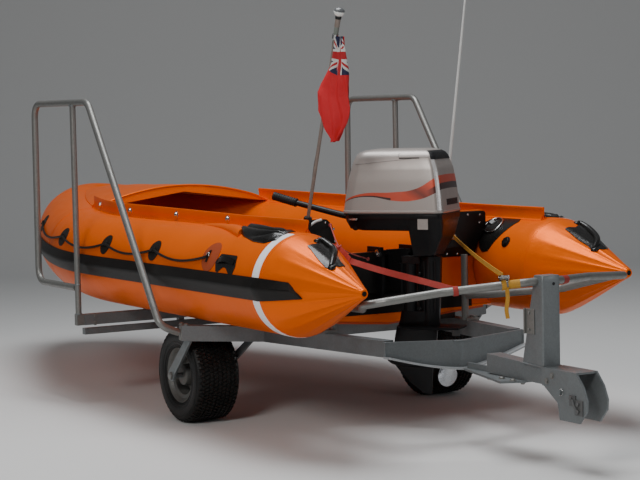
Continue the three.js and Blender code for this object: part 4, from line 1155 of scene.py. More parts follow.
plateHalf = [(0.074, 0), (0.066, 0.026), (0.03, 0.062), (-0.03, 0.085), (-0.09, 0.098), (-0.19, 0.092),
    (-0.262, 0.08), (-0.27, 0.07)]
plateRing = plateHalf + [(x, -y) for x, y in reversed(plateHalf[1:])]
gear = Shape()
gear.rings([[Vector((blend(x, -0.09, inset), y * (1 - inset), z)) for x, y in plateRing]
    for z, inset in ((0.519, 0.03), (0.521, 0), (0.5295, 0), (0.5315, 0.03))])
foilLoft(gear, [(0.078, -0.14, 0.026, 0.524), (0.088, -0.136, 0.022, 0.48), (0.096, -0.132, 0.02, 0.43),
    (0.11, -0.126, 0.024, 0.365)])
torpedo = [(0, 0.134), (0.01, 0.1325), (0.02, 0.122), (0.029, 0.106), (0.036, 0.085), (0.041, 0.056),
    (0.043, 0.03), (0.043, -0.06), (0.042, -0.1), (0.04, -0.128), (0.038, -0.1355), (0, -0.136)]
gear.turned(torpedo, Vector((0, 0, 0.36)), toBow, 40)
skeg = []
for i in range(9):
    s = i / 8
    fore, aft = blend(0.096, -0.058, s ** 1.25), blend(-0.112, -0.104, s)
    z, w = blend(0.335, 0.186, s), blend(0.006, 0.0028, s)
    skeg.append(vectors((fore, 0, z), (blend(fore, aft, 0.1), w, z),
        (blend(fore, aft, 0.8), w, z - 0.002 * s), (aft, w * 0.3, z - 0.004 * s),
        (aft, -w * 0.3, z - 0.004 * s), (blend(fore, aft, 0.8), -w, z - 0.002 * s),
        (blend(fore, aft, 0.1), -w, z)))
gear.rings(skeg)
onMotor(gear, "gearHousing", motorBlack, "casting", 35, replaces=("gearcase",))
trim = Shape()
for side in (1, -1):
    for k in range(5):
        trim.box((0.04 - 0.012 * k - 0.004, side * 0.0235 - 0.0022, 0.395),
            (0.04 - 0.012 * k + 0.002, side * 0.0235 + 0.0022, 0.425))
trim.rings([[Vector((-0.236 + dx, 0.0035 * f, z)) for dx, f in ((0.022, 0), (0.008, 1), (-0.02, 0.4),
    (-0.02, -0.4), (0.008, -1))] for z in (0.482, 0.5, 0.5185)])
onMotor(trim, "intakesAndTab", castGrey, "casting", 30)


def makePropeller():
    prop = Shape()
    prop.turned([(0, -0.236), (0.019, -0.2355), (0.024, -0.232), (0.0285, -0.22), (0.034, -0.2),
        (0.0352, -0.18), (0.036, -0.1364), (0, -0.1364)], Vector(), toBow, 40)
    blade = [(0.028, 0.034, 50, 0.0052), (0.04, 0.042, 46, 0.0046), (0.058, 0.052, 40, 0.0038),
        (0.074, 0.06, 35.5, 0.0032), (0.088, 0.062, 32, 0.0027), (0.101, 0.06, 30, 0.0023),
        (0.112, 0.054, 28, 0.002), (0.121, 0.045, 27, 0.0017), (0.128, 0.034, 26, 0.0014),
        (0.133, 0.02, 25.4, 0.0011), (0.135, 0.01, 25, 0.0009)]
    for turn in (180, 300, 60):
        spin = Matrix.Rotation(radians(turn), 3, "X")
        rings = []
        for r, half, pitch, thick in blade:
            c, s = cos(radians(pitch)), sin(radians(pitch))
            ring = []
            for k in range(9):
                u = 1 - 2 * k / 8
                ring.append((u, sqrt(max(1 - u * u, 0))))
            ring += [(u, -v) for u, v in reversed(ring[1:-1])]
            rings.append([spin @ Vector((-0.188 - u * half * s + v * thick * c, u * half * c + v * thick * s,
                r)) for u, v in ring])
        prop.rings(rings)
    prop.turned([(0.0125, -0.2365), (0.0125, -0.2365), (0.0125, -0.248), (0, -0.248)], Vector(), toBow, 6)
    prop.points = [p + Vector((0, 0, 0.36)) for p in prop.points]
    onMotor(prop, "propellerCasting", bladeMetal, "blade", 40, replaces=("propeller",), body="propeller")


makePropeller()

# tiller with its ribbed twist grip
armPath = curveThrough(vectors((0.3065, -0.06, 1.08), (0.36, -0.06, 1.082), (0.5, -0.06, 1.115),
    (0.64, -0.06, 1.15)), 8)
arm = Shape()
arm.rings([circle(p, toPort * 0.022, upward * 0.019, blend(1.0, 0.82, i / (len(armPath) - 1)), 20)
    for i, p in enumerate(armPath)])
onMotor(arm, "tillerArm", motorBlack, smooth=45, replaces=("tiller_arm",))
grip = Shape()
gripFrom, gripTo = vectors((0.638, -0.06, 1.1494), (0.77, -0.06, 1.187))
profile = [(0, 0), (0.021, 0), (0.0235, 0.004)]
for k in range(10):
    t = 0.01 + 0.0118 * k
    profile += [(0.0222, t), (0.0206, t + 0.002), (0.0206, t + 0.0055), (0.0222, t + 0.0075)]
profile += [(0.0225, 0.13), (0.0215, 0.1355), (0.015, 0.137), (0, 0.137)]
grip.turned(profile, gripFrom, gripTo - gripFrom, 28)
onMotor(grip, "twistGrip", motorPlastic, smooth=30)

# clamp and tilt brackets keep their solids; the clamps gain hand screws, the tilt tube its nuts
dress(motorBlack, "clamp_bracket", "swivel_bracket")
dress(castGrey, "powerhead")
handScrews, nuts = Shape(), Shape()
for side in (1, -1):
    at = place(1.0275, side * 0.097, 0.85)
    handScrews.turned([(0.0075, -0.004), (0.0075, 0.03), (0.013, 0.031), (0.013, 0.04), (0, 0.041)], at,
        toBow, 16)
    handScrews.tube([at + Vector((0.036, 0, -0.036)), at + Vector((0.036, 0, 0.036))], 0.0048, 10)
    nuts.turned([(0.021, 0), (0.021, 0.01), (0.012, 0.0115), (0.012, 0.016), (0, 0.0165)],
        place(0.92, side * 0.1064, 0.895), toPort * side, 6)
handScrews.piece("clampScrews", brightSteel, "steel", 35)
nuts.piece("tiltNuts", brightSteel, "steel", 25)
print("motor done")


# Trolley: plain beams keep their solids; tubes and the stern gusset are modelled afresh
dress(zinc, "axle_cross", "side_frame_port", "side_frame_starboard", "tongue", "drawbar_head", "keel_beam",
    "cross_forward", "wheel_fork_port", "wheel_fork_starboard", "nose_leg")
dress(bearerRubber, "bow_chock", "bunk_port", "bunk_starboard")
barRadius = 0.019
postX = -0.322

# tapered post: upright aft face, fore face sloping down and forward, on the arched tongue
postLevels = [(-0.208, 0.4446, 0.4511, 0.05), (-0.2318, 0.552, 0.552, 0.05), (-0.2784, 0.7524, 0.7524, 0.05),
    (-0.296, 0.83, 0.83, 0.05), (-0.3, 0.856, 0.856, 0.05), (-0.302, 0.86, 0.86, 0.048)]


def postRing(fore, aftZ, foreZ, half):
    ring = []
    for atFore, way, start in ((1, 1, 0), (0, 1, 90), (0, -1, 180), (1, -1, 270)):
        middle = fore - 0.011 if atFore else postX - half + 0.011
        for k in range(6):
            a = radians(start + 18 * k)
            ring.append(place(middle + 0.011 * cos(a), way * (half - 0.011) + 0.011 * sin(a),
                foreZ if atFore else aftZ))
    return ring


postShape = Shape().rings([postRing(*level) for level in postLevels])
postShape.piece("stern_post", zinc, "steel", 35, replaces=("post",))
holes = Shape()
holes.turned([(0.0075, -0.002), (0.0075, 0.0006), (0, 0.0007)], place(postX - 0.0502, -0.012, 0.822), toStern,
    20)
holes.piece("postHoles", motorPlastic, "steel", 35)
latch = Shape().box((-0.033, 0.0, -0.058), (0.033, 0.005, 0.058))
latch.box((0.026, 0.004, -0.058), (0.033, 0.016, 0.058))
latch.turned([(0.007, 0), (0.007, 0.012), (0, 0.013)], Vector((0.003, 0, 0.038)), toPort, 12)
latch.turned([(0.007, 0), (0.007, 0.012), (0, 0.013)], Vector((0.003, 0, -0.038)), toPort, 12)
latch.moved(Matrix.Translation(place(-0.278, 0.05, 0.648)))
bevelled(latch.piece("postLatch", zincTube, "steel", 30), 0.0012)

bars = [("port", 1, [(-0.1, 0.41, 0.79), (0.03, 0.63, 0.754), (0.096, 0.712, 0.737), (0.16, 0.678, 0.726),
    (0.3, 0.59, 0.695), (0.7, 0.432, 0.66), (0.865, 0.404, 0.65)]),
    ("starboard", -1, [(-0.12, 0.41, 0.813), (-0.078, 0.61, 0.803), (-0.048, 0.704, 0.797),
    (0.028, 0.684, 0.789), (0.3, 0.59, 0.715), (0.7, 0.432, 0.664), (0.865, 0.404, 0.65)])]
barPaths = {}
for sideName, side, route in bars:
    corners = [place(x, side * y, z) for x, y, z in [(postX, 0.0504, 0.832), (postX, 0.058, 0.832),
        (postX + 0.008, 0.096, 0.83)] + route]
    barPaths[sideName] = rounded(corners, 0.044, 6)
    Shape().tube(barPaths[sideName], barRadius, 24).piece("sternBar_" + sideName, zincTube, "steel", 60,
        replaces=("stern_bar_" + sideName,))
    upright = Shape().tube(places((0.888, side * 0.404, 0.519), (0.888, side * 0.404, 0.856),
        (0.888, side * 0.404, 0.862)), [barRadius, barRadius, barRadius * 0.92], 24)
    upright.box(place(0.856, side * 0.432 - 0.036, 0.5158), place(0.92, side * 0.432 + 0.036, 0.53))
    upright.piece("sternStanchion_" + sideName, zincTube, "steel", 40, replaces=("stanchion_" + sideName,))
    # painted tape beside the post
    tape, tapeColour = ((0.075, 0.128), strapYellow) if side > 0 else ((0.055, 0.118), strapRed)
    run, metres = 0.0, []
    for p, q in zip(barPaths[sideName], barPaths[sideName][1:]):
        metres.append((run, run + (q - p).length, p, q))
        run = metres[-1][1]
    dense = []
    for k in range(9):
        target = blend(tape[0], tape[1], k / 8)
        start, end, p, q = next(m for m in metres if m[1] >= target)
        dense.append(p.lerp(q, (target - start) / (end - start)))
    Shape().tube(dense, barRadius + 0.0012, 24).piece("barTape_" + sideName, tapeColour, "steel", 60)

# hoops: one bent tube a side with its middle post let into the cross bar
hoopY = 1.068
for sideName, side in bothSides:
    route = [(x, side * hoopY, z) for x, z in ((2.575, 0.664), (3.136, 0.664), (3.12, 1.7), (2.345, 1.7),
        (1.5, 0.545))] + [(1.494, side * 0.9645, 0.503)]
    hoop = Shape().tube(rounded([place(*p) for p in route], 0.09, 9), barRadius, 24)
    hoop.tube(places((2.555, side * hoopY, 0.454), (2.555, side * hoopY, 1.694)), 0.017, 24)
    low, high = (1.0404, 1.085) if side > 0 else (-1.085, -1.0404)
    hoop.box(place(2.536, low, 0.454), place(2.574, high, 0.514))
    hoop.piece("sideHoop_" + sideName, zincTube, "steel", 40, replaces=("hoop_" + sideName,))
    beads = Shape()
    for z, r in ((0.517, 0.0205), (1.682, 0.0215), (0.683, 0.0185)):
        beads.turned([(0.0165, -0.004), (r, -0.003), (r + 0.001, 0), (r, 0.003), (0.0165, 0.004)],
            place(2.555, side * hoopY, z), upward, 24)
    beads.piece("hoopWelds_" + sideName, zinc, "steel", 50)


# stern gusset: web deepest at the middle, its lower edge sweeping up to each side, on a flange painted paler
# as a painted highlight for its lit edge
def makeGusset():
    steps = 28

    def lowAt(s):
        return blend(0.366, 0.442, min(1, (s * 1.02) ** 1.5))

    def spot(s, z, fore, side):
        return place(blend(0.342, 0.404, s) + fore, side * 0.41 * s, z)
    web, foot = [], []
    for k in range(-steps, steps + 1):
        s, side = abs(k) / steps, (1 if k >= 0 else -1)
        top, low = blend(0.5, 0.514, s), lowAt(s)
        web.append([spot(s, top, 0.008, side), spot(s, top, -0.008, side), spot(s, low, -0.008, side),
            spot(s, low, 0.008, side)])
        foot.append([spot(s, low + 0.002, 0.008, side), spot(s, low + 0.002, -0.052, side),
            spot(s, low - 0.008, -0.052, side), spot(s, low - 0.008, 0.008, side)])
    gusset = Shape()
    gusset.rings(web)
    flange = Shape().rings(foot).piece("gussetFlange", flangeHighlightZinc, "steel", 25)
    bevelled(flange, 0.0015, 2)
    bevelled(gusset.piece("sternGusset", zinc, "steel", 25, replaces=("stern_cross",)), 0.0015, 2)
    bead = Shape()
    for side in (1, -1):
        bead.tube([spot(0.999, z, -0.01, side) for z in spread(0.445, 0.512, 6)], 0.005, 8)
    bead.tube([spot(abs(k) / 6 * 0.12, 0.496, -0.0125, 1 if k >= 0 else -1) for k in range(-6, 7)], 0.0045, 8)
    bead.piece("gussetWelds", zinc, "steel", 60)


makeGusset()


def boltHead(shape, at, axis, across=0.019, thick=0.0085, washer=True):
    axis = axis.normalized()
    if washer:
        shape.turned([(across * 0.78, -0.001), (across * 0.78, 0.0018), (across * 0.35, 0.0021), (0, 0.0021)],
            at, axis, 22)
    shape.turned([(across * 0.577, 0.001), (across * 0.577, thick - 0.001), (across * 0.5, thick),
        (0, thick)], at, axis, 6)


fixings = Shape()
for side in (1, -1):
    for x, z in ((0.872, 0.5303), (0.904, 0.5303)):
        boltHead(fixings, place(x, side * 0.457, z), upward)
    for x in (1.476, 1.528):
        boltHead(fixings, place(x, side * 0.93, 0.5405), upward, 0.022)
    for z in (0.462, 0.506):
        boltHead(fixings, place(2.5298, side * 0.98, z), toStern, 0.016)
    for x in (1.12, 1.4, 2.0, 2.6, 2.95):
        boltHead(fixings, place(x, side * 0.366, 0.5148), -upward, 0.013, 0.006, washer=False)
for x, z in ((-0.45, 0.418), (-0.41, 0.39)):
    for side in (1, -1):
        boltHead(fixings, place(x, side * 0.0622, z), toPort * side, 0.019)
for x, y in ((-0.185, 0.085), (-0.1, 0.085), (-0.185, -0.085), (-0.1, -0.085)):
    boltHead(fixings, place(x, y, 0.3672), upward, 0.022)
for x, y in ((-0.2, 0.04), (-0.2, -0.04), (0.02, 0.07), (0.02, -0.07)):
    boltHead(fixings, place(x, y, 0.3568), -upward, 0.017)
for side in (1, -1):
    boltHead(fixings, place(3.45, side * 0.0342, 0.395), toPort * side, 0.02)
fixings.piece("frameBolts", zincTube, "steel", 30)

# pin with its ring clip, hook plates under the head and the lock plate beside the pin
clip = Shape()
clip.tube([place(-0.515, 0.066, 0.352) + Vector((0.0145 * sin(a), 0.002 * cos(a * 2), 0.0145 * cos(a)))
    for a in turnAngles(24, 1)], 0.0018, 8)
clip.turned([(0, 0), (0.014, 0), (0.016, 0.003), (0.016, 0.007), (0, 0.008)], place(-0.515, -0.0775, 0.352),
    -toPort, 24)
clip.piece("hitchClip", brightSteel, "steel", 45)
lock = Shape()
lock.box(place(-0.668, 0.0618, 0.262), place(-0.612, 0.0665, 0.33))
lock.box(place(-0.618, 0.0618, 0.3), place(-0.575, 0.0675, 0.348))
lock.tube(places((-0.6, 0.07, 0.33), (-0.618, 0.073, 0.3), (-0.64, 0.071, 0.272)), 0.006, 10)
for x, z in ((-0.59, 0.334), (-0.64, 0.312), (-0.64, 0.28)):
    lock.turned([(0.009, 0), (0.009, 0.01), (0.006, 0.012), (0, 0.012)], place(x, 0.066, z), toPort, 14)
lock.piece("hitchLock", castGrey, "steel", 30)
seams = Shape()
for side in (1, -1):
    seams.tube([place(-0.3735, side * 0.0405, z) for z in (0.37, 0.44)], 0.0045, 8)
    seams.tube([place(x, side * 0.052, z) for x, z in ((-0.37, 0.4455), (-0.29, 0.448), (-0.212, 0.4515))],
        0.0045, 8)
seams.tube([place(postX - 0.052, y, 0.446) for y in (-0.038, 0.0, 0.038)], 0.0045, 8)
seams.tube([place(-0.206, y, 0.452) for y in (-0.038, 0.0, 0.038)], 0.0045, 8)
seams.piece("postWelds", zinc, "steel", 60)
# end cap on each arm's outer end
for sideName, side in bothSides:
    cap = Shape().box((-0.005, -0.0285, -0.0385), (0.004, 0.0285, 0.0385))
    direction = (place(1.502, side * 0.95, 0.5) - place(1.385, side * 0.512, 0.472)).normalized()
    turn = direction.to_track_quat("X", "Z").to_matrix().to_4x4()
    cap.moved(Matrix.Translation(place(1.502, side * 0.95, 0.5)) @ turn)
    bevelled(cap.piece("armCap_" + sideName, zincTube, "steel", 25), 0.006, 3)
print("trolley done")

# Wheels: pressed rim and balloon tyre, its tread blocks instanced round the crown
wheelX, wheelY, tyreRadius = 1.695, 0.757, 0.252
tyreProfile = [(0.1352, -0.0838), (0.1385, -0.094), (0.146, -0.1075), (0.154, -0.1165), (0.164, -0.1205),
    (0.178, -0.1235), (0.194, -0.1262), (0.207, -0.1266), (0.22, -0.124), (0.231, -0.1195), (0.2375, -0.1125),
    (0.24, -0.102), (0.2415, -0.086), (0.243, -0.06), (0.2437, -0.03), (0.244, 0)]


blockSize, rowPoints, wearShare = (0.015, 0.019, 0.0096), 72, 0.08
crown = [(0, 0.2465), (0.03, 0.2462), (0.06, 0.2454), (0.086, 0.2437), (0.1, 0.2415)]


def onWheel(centre, radius, a, y):
    return centre + Vector((radius * cos(a), y, radius * sin(a)))


# one block, instanced along rows of points on the tread and turned to face outwards
def makeBlocks(name, centre, seed):
    block = bpy.data.meshes.new(name + "_one")
    bm = bmesh.new()
    bmesh.ops.create_cube(bm, size=1.0)
    for v in bm.verts:
        v.co = Vector([c * size for c, size in zip(v.co, blockSize)])
        if v.co.z > 0:
            v.co.x *= 0.86
            v.co.y *= 0.9
    bm.to_mesh(block)
    bm.free()
    block.materials.append(tyreRubber)
    sample = addObject(name + "_one", block)
    rows = bpy.data.meshes.new(name + "_rows")
    points, turns, slants = [], [], []
    for row, across in enumerate((-0.096, -0.073, -0.049, -0.0245, 0.0, 0.0245, 0.049, 0.073, 0.096)):
        radius = tableValue(crown, abs(across))
        for k in range(rowPoints):
            a = 2 * pi * (k + 0.5 * (row % 2)) / rowPoints
            points.append((centre.x + radius * cos(a), centre.y + across, centre.z + radius * sin(a)))
            # block z goes to the radius, then each block tips and slants about its own axes
            turns += [0, pi / 2 - a, 0]
            slants += [-3.2 * across, 0, 0.42 if row % 2 else -0.42]
    rows.from_pydata(points, [], [])
    for label, values in (("turn", turns), ("slant", slants)):
        rows.attributes.new(label, "FLOAT_VECTOR", "POINT").data.foreach_set("vector", values)
    carrier = addObject(name + "_carrier", rows)
    tree = bpy.data.node_groups.new(name + "_tree", "GeometryNodeTree")
    settings = {"Block": sample, "Seed": seed, "Wear": wearShare}
    for label, kind in (("Geometry", "Geometry"), ("Block", "Object"), ("Seed", "Int"), ("Wear", "Float")):
        tree.interface.new_socket(name=label, in_out="INPUT", socket_type="NodeSocket" + kind)
    tree.interface.new_socket(name="Geometry", in_out="OUTPUT", socket_type="NodeSocketGeometry")
    given, end = tree.nodes.new("NodeGroupInput").outputs, tree.nodes.new("NodeGroupOutput")

    def geo(kind, values, output=0, **words):
        node = tree.nodes.new(kind)
        for key, value in words.items():
            setattr(node, key, value)
        for key, value in values.items():
            feed(tree, value, node.inputs[key])
        return node.outputs[output]

    def read(label):
        return geo("GeometryNodeInputNamedAttribute", {"Name": label}, "Attribute", data_type="FLOAT_VECTOR")
    one = geo("GeometryNodeObjectInfo", {"Object": given["Block"]}, "Geometry")
    placed = geo("GeometryNodeInstanceOnPoints", {"Points": given["Geometry"], "Instance": one,
        "Rotation": read("turn")})
    slanted = geo("GeometryNodeRotateInstances", {"Instances": placed, "Rotation": read("slant"),
        "Local Space": True})
    worn = geo("FunctionNodeRandomValue", {2: 0.0, 3: given["Wear"], "Seed": given["Seed"]}, 1,
        data_type="FLOAT")
    size = geo("ShaderNodeMath", {0: 1.0, 1: worn}, operation="SUBTRACT")
    scale = geo("ShaderNodeCombineXYZ", {0: size, 1: size, 2: size})
    sized = geo("GeometryNodeScaleInstances", {"Instances": slanted, "Scale": scale})
    real = geo("GeometryNodeRealizeInstances", {0: sized})
    painted = geo("GeometryNodeSetMaterial", {"Geometry": real, "Material": tyreRubber})
    tree.links.new(painted, end.inputs[0])
    modifier = carrier.modifiers.new("blocks", "NODES")
    modifier.node_group = tree
    for item in tree.interface.items_tree:
        if item.in_out == "INPUT" and item.name in settings:
            modifier[item.identifier] = settings[item.name]
    bpy.context.view_layer.update()
    depsgraph = bpy.context.evaluated_depsgraph_get()
    mesh = bpy.data.meshes.new_from_object(carrier.evaluated_get(depsgraph))
    mesh.name = name
    bpy.data.objects.remove(carrier)
    bpy.data.objects.remove(sample)
    return addObject(name, mesh)


# dark grey rim: partly the rim's own dark grey, partly painted shade for its shadowed dish
rimSteelWithShade = finish("wheelSteelWithShade", (0.12, 0.12, 0.115), 0.5, metallic=0.5, drift=(0.12, 0.05),
    dust=(0.4, (0.1, 0.085, 0.065)), relief=(0.0012, 0.15))
for sideName, side in bothSides:
    centre = place(wheelX, side * wheelY, tyreRadius)
    axis = toPort * side
    body = "wheel_" + sideName
    tyre = Shape().turned(tyreProfile + [(r, -t) for r, t in reversed(tyreProfile[:-1])], centre, axis, 96,
        capped=False)
    tyre.piece("tyreCarcass_" + sideName, tyreRubber, "tyre", 50, body=body, replaces=("tyre_" + sideName,))
    blocks = makeBlocks("treadBlocks_" + sideName, centre, 4 if side > 0 else 9)
    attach(blocks, body)
    # raised lines on the walls and a block row on each shoulder
    walls = Shape()
    for r, t in ((0.178, 0.1232), (0.16, 0.1195), (0.2215, 0.1236)):
        for end in (1, -1):
            walls.tube(circle(centre + toPort * (end * (t + 0.0002)), toBow, upward, r, 96, 1), 0.0016, 6)
    square = ((-1, -1), (1, -1), (1, 1), (-1, 1))
    for a in turnAngles(48):
        for end in (1, -1):
            base = onWheel(centre, 0.2405, a, end * 0.1085)
            outward = Vector((cos(a) * 0.75, end * 0.66, sin(a) * 0.75)).normalized()
            along = Vector((-sin(a), 0, cos(a)))
            third = outward.cross(along)
            walls.rings([[base + along * (wide * u) + third * (deep * v) + outward * out for u, v in square]
                for wide, deep, out in ((0.0072, 0.01, -0.003), (0.0058, 0.0086, 0.0034))])
    walls.piece("tyreShoulder_" + sideName, tyreRubber, "tyre", 35, body=body)
    outer = [(0.0134, 0.1), (0.03, 0.1005), (0.044, 0.0985), (0.054, 0.093), (0.0565, 0.084), (0.0575, 0.05),
        (0.059, 0.016), (0.064, 0.0095), (0.084, 0.0125), (0.107, 0.0195), (0.1125, 0.03), (0.1145, -0.07),
        (0.118, -0.092), (0.139, -0.1105), (0.1425, -0.1128), (0.146, -0.1115), (0.1455, -0.106),
        (0.1345, -0.085), (0.124, -0.078), (0.122, -0.07), (0.122, 0.07), (0.124, 0.078), (0.1345, 0.085),
        (0.1455, 0.106), (0.146, 0.1115), (0.1425, 0.1128), (0.139, 0.1105), (0.126, 0.0925), (0.106, 0.089),
        (0.098, 0.04), (0.094, 0.0325), (0.07, 0.024), (0.049, 0.0185), (0.046, 0), (0.044, -0.085),
        (0.04, -0.0915), (0.0134, -0.092)]
    Shape().turned(outer, centre, axis, 72, capped=False).piece("wheelRim_" + sideName, rimSteelWithShade, "steel", 35,
        body=body, replaces=("rim_" + sideName,))
    trimParts = Shape()
    for a in turnAngles(5):
        boltHead(trimParts, onWheel(centre, 0.0765, a, side * 0.0265), axis, 0.019, 0.012)
    valveAngle = 2.1
    valveAt = onWheel(centre, 0.102, valveAngle, side * 0.066)
    trimParts.turned([(0.0045, -0.004), (0.0045, 0.02), (0.0036, 0.021), (0.0036, 0.03), (0, 0.031)], valveAt,
        axis + Vector((-cos(valveAngle), 0, -sin(valveAngle))) * 0.5, 12)
    trimParts.piece("wheelNuts_" + sideName, zincTube, "steel", 35, body=body)
    ends = Shape()
    for y, way in ((0.918, 1), (0.596, -1)):
        ends.turned([(0, 0), (0.021, 0), (0.021, 0.01), (0.014, 0.0115), (0, 0.012)],
            place(wheelX, side * (y + way * 0.0004), tyreRadius), Vector((0, side * way, 0)), 6)
    ends.piece("axleNuts_" + sideName, zincTube, "steel", 30)
print("wheels done")


# Webbing that holds boat and trolley together
def webbingStrip(name, path, width, thickness, sides, material, replaces=()):
    return Shape().ribbon(path, width, thickness, sides).piece(name, material, "webbing", 45,
        replaces=replaces)


# red strap: flat at the cone, half a turn along the way, lashed round the port bar
redRoute = places((0.352, 0.623, 0.92), (0.2, 0.54, 0.878), (0, 0.424, 0.83), (-0.1122, 0.355, 0.801))
redPath = curveThrough(redRoute, 14)
redSides = []
for i in range(len(redPath)):
    s = i / (len(redPath) - 1)
    lean = 0.4 + 0.18 * sin(3.2 * pi * s) + 0.1 * sin(7.1 * pi * s)
    redSides.append(Vector((sin(lean) * 0.53, sin(lean) * -0.85, cos(lean))))
webbingStrip("redStrap", redPath, 0.03, 0.003, redSides, strapRed, replaces=("lashing",))


def barPoint(name, y):
    path = barPaths[name]
    for p, q in zip(path, path[1:]):
        if (p.y - y) * (q.y - y) <= 0 and p.y != q.y and p.z > 0.75:
            t = (y - p.y) / (q.y - p.y)
            return p.lerp(q, t), (q - p).normalized()
    return path[0], (path[1] - path[0]).normalized()


def wrap(name, bar, y, turns, width, material, lift=0.0026):
    # turns of webbing laid side by side round a bar
    at, along = barPoint(bar, y)
    up = (upward - along * upward.dot(along)).normalized()
    across = along.cross(up)
    shape = Shape()
    for k in range(turns):
        shift = (k - (turns - 1) / 2) * width * 0.82
        ring = circle(at, up, across, barRadius + lift + 0.0012 * (k % 2), 36, 1)
        ring = [p + along * (shift + 0.004 * sin(2 * pi * i / 36 + k)) for i, p in enumerate(ring)]
        shape.ribbon(ring, width * 0.9, 0.0026, along)
    return shape.piece(name, material, "webbing", 50)


wrap("redWrap", "port", 0.362, 1, 0.026, strapRed)
knot = place(0.49, 0.598, 0.98)
headPath = curveThrough(places((0.352, 0.623, 0.922), (0.5, 0.598, 0.9705), (0.7, 0.585, 0.977),
    (0.88, 0.6, 0.992)), 8)
webbingStrip("redHead", headPath, 0.03, 0.003, [Vector((0, -0.35, 0.94))] * len(headPath), strapRed)
cordRed = finish("redCord", (0.4, 0.05, 0.05), 0.7, drift=(0.15, 0.02), dust=(0.2, paleDust),
    relief=(0.0008, 0.4), thread=(0.6, 0.0016))
cords = Shape()
cords.tube(curveThrough([knot, place(0.64, 0.526, 1.001), place(0.8, 0.445, 1.026),
    place(0.9435, 0.372, 1.05)], 8), 0.0032, 8)
cords.tube(curveThrough([knot + Vector((0.004, -0.004, -0.006)), place(0.62, 0.44, 0.925),
    place(0.9435, 0.153, 0.867)], 10), 0.0032, 8)
for at in (place(0.9445, 0.153, 0.867), place(0.9445, 0.372, 1.05)):
    cords.turned([(0.008, -0.003), (0.01, 0), (0.008, 0.003), (0, 0.0035)], at, toStern, 16)
cords.tube([knot + Vector((0.01 * cos(a), 0.01 * sin(a), 0.004 * sin(2 * a))) for a in turnAngles(16, 1)],
    0.0045, 8)
cords.piece("redCords", cordRed, "webbing", 50)

# ochre strap: from an eye on the transom facing to a ratchet on the port bar, its tail hanging
ratchetAt = barPoint("port", 0.182)[0]
eye = place(0.9435, -0.375, 0.955)
strapEnd = ratchetAt + Vector((0.03, -0.02, 0.04))
ochrePath = [eye.lerp(strapEnd, k / 24) - Vector((0, 0, 0.01 * sin(pi * k / 24))) for k in range(25)]
ochreSides = [Vector((0.12 * sin(5 * k / 24), 0.1, 1)) for k in range(25)]
webbingStrip("ochreStrap", ochrePath, 0.025, 0.0026, ochreSides, strapYellow)
tailPath = curveThrough([ratchetAt + step for step in vectors((-0.02, -0.004, -0.008),
    (-0.023, -0.006, -0.06), (-0.018, -0.002, -0.11), (-0.022, -0.006, -0.15))], 6)
webbingStrip("ochreTail", tailPath, 0.025, 0.0026, [Vector((0.98, 0.1, 0))] * len(tailPath), strapYellow)
wrap("ochreWrap", "port", 0.182, 1, 0.023, strapYellow)
buckle = Shape()
turn = (strapEnd - eye).normalized().to_track_quat("X", "Z").to_matrix().to_4x4()
for side in (-1, 1):
    buckle.rings([[Vector((x, side * 0.0165 + dy, z)) for dy in (-0.0012, 0.0012)
        for z in ((low, high) if dy < 0 else (high, low))] for x, low, high in ((-0.034, -0.006, 0.006),
        (-0.012, -0.012, 0.012), (0.01, -0.016, 0.016), (0.026, -0.01, 0.02), (0.04, 0.002, 0.022))])
for x, z, r in ((-0.028, 0.0, 0.0035), (0.004, 0.0, 0.0075), (0.034, 0.013, 0.0045)):
    buckle.turned([(0, -0.019), (r, -0.019), (r, 0.019), (0, 0.019)], Vector((x, 0, z)), toPort, 14)
for side in (-1, 1):
    teeth = []
    for k, a in enumerate(turnAngles(24)):
        r = 0.013 if k % 2 else 0.0102
        teeth.append((r * cos(a), r * sin(a)))
    buckle.rings([[Vector((0.004 + x, side * 0.0145 + dy, z)) for x, z in teeth] for dy in (-0.001, 0.001)])
buckle.box((0.014, -0.0155, 0.014), (0.05, 0.0155, 0.0165))
buckle.moved(Matrix.Translation(strapEnd - Vector((0.018, -0.01, 0.01))) @ turn)
buckle.piece("ratchet", brightSteel, "steel", 30)
eyeShape = Shape().turned([(0.016, -0.0015), (0.016, 0.001), (0, 0.0012)], eye + Vector((0.0012, 0, 0)),
    toStern, 24)
eyeShape.tube(circle(eye + toStern * 0.0075, toPort, upward, 0.011, 24, 1), 0.0026, 8)
eyeShape.piece("strapEye", brightSteel, "steel", 45)
print("straps done")

# Ensign staff with its light, and the whip aerial
staffFoot, staffTop = place(0.922, 0.532, 1.004), place(0.564, 0.532, 2.058)
staffDir = (staffTop - staffFoot).normalized()


# point of the staff's middle line at a height
def staffAt(z):
    return staffFoot.lerp(staffTop, (z - staffFoot.z) / (staffTop.z - staffFoot.z))


staff = Shape().tube([staffFoot.lerp(staffTop, k / 8) for k in range(9)], 0.009, 20)
staff.turned([(0, 0.02), (0.0165, 0.02), (0.019, 0.024), (0.019, 0.095), (0.0165, 0.1), (0.0095, 0.101)],
    staffFoot, staffDir, 24)
staff.box(place(0.912, 0.516, 1.03), place(0.9445, 0.548, 1.062))
length = (staffTop - staffFoot).length
staff.turned([(0, length * 0.965), (0.0125, length * 0.965), (0.013, length * 0.968), (0.013, length)],
    staffFoot, staffDir, 24)
staff.piece("ensignStaff", staffBrown, "steel", 40, replaces=("ensign_staff",))
collar = Shape().turned([(0.0092, 0.018), (0.02, 0.018), (0.021, 0.022), (0.021, 0.094), (0.0195, 0.102),
    (0.0092, 0.103)], staffFoot, staffDir, 24)
for side in (1, -1):
    boltHead(collar, place(0.9265, 0.532 + side * 0.0165, 1.046), toPort * side, 0.01, 0.005, washer=False)
collar.piece("staffSocket", motorPlastic, "steel", 40)
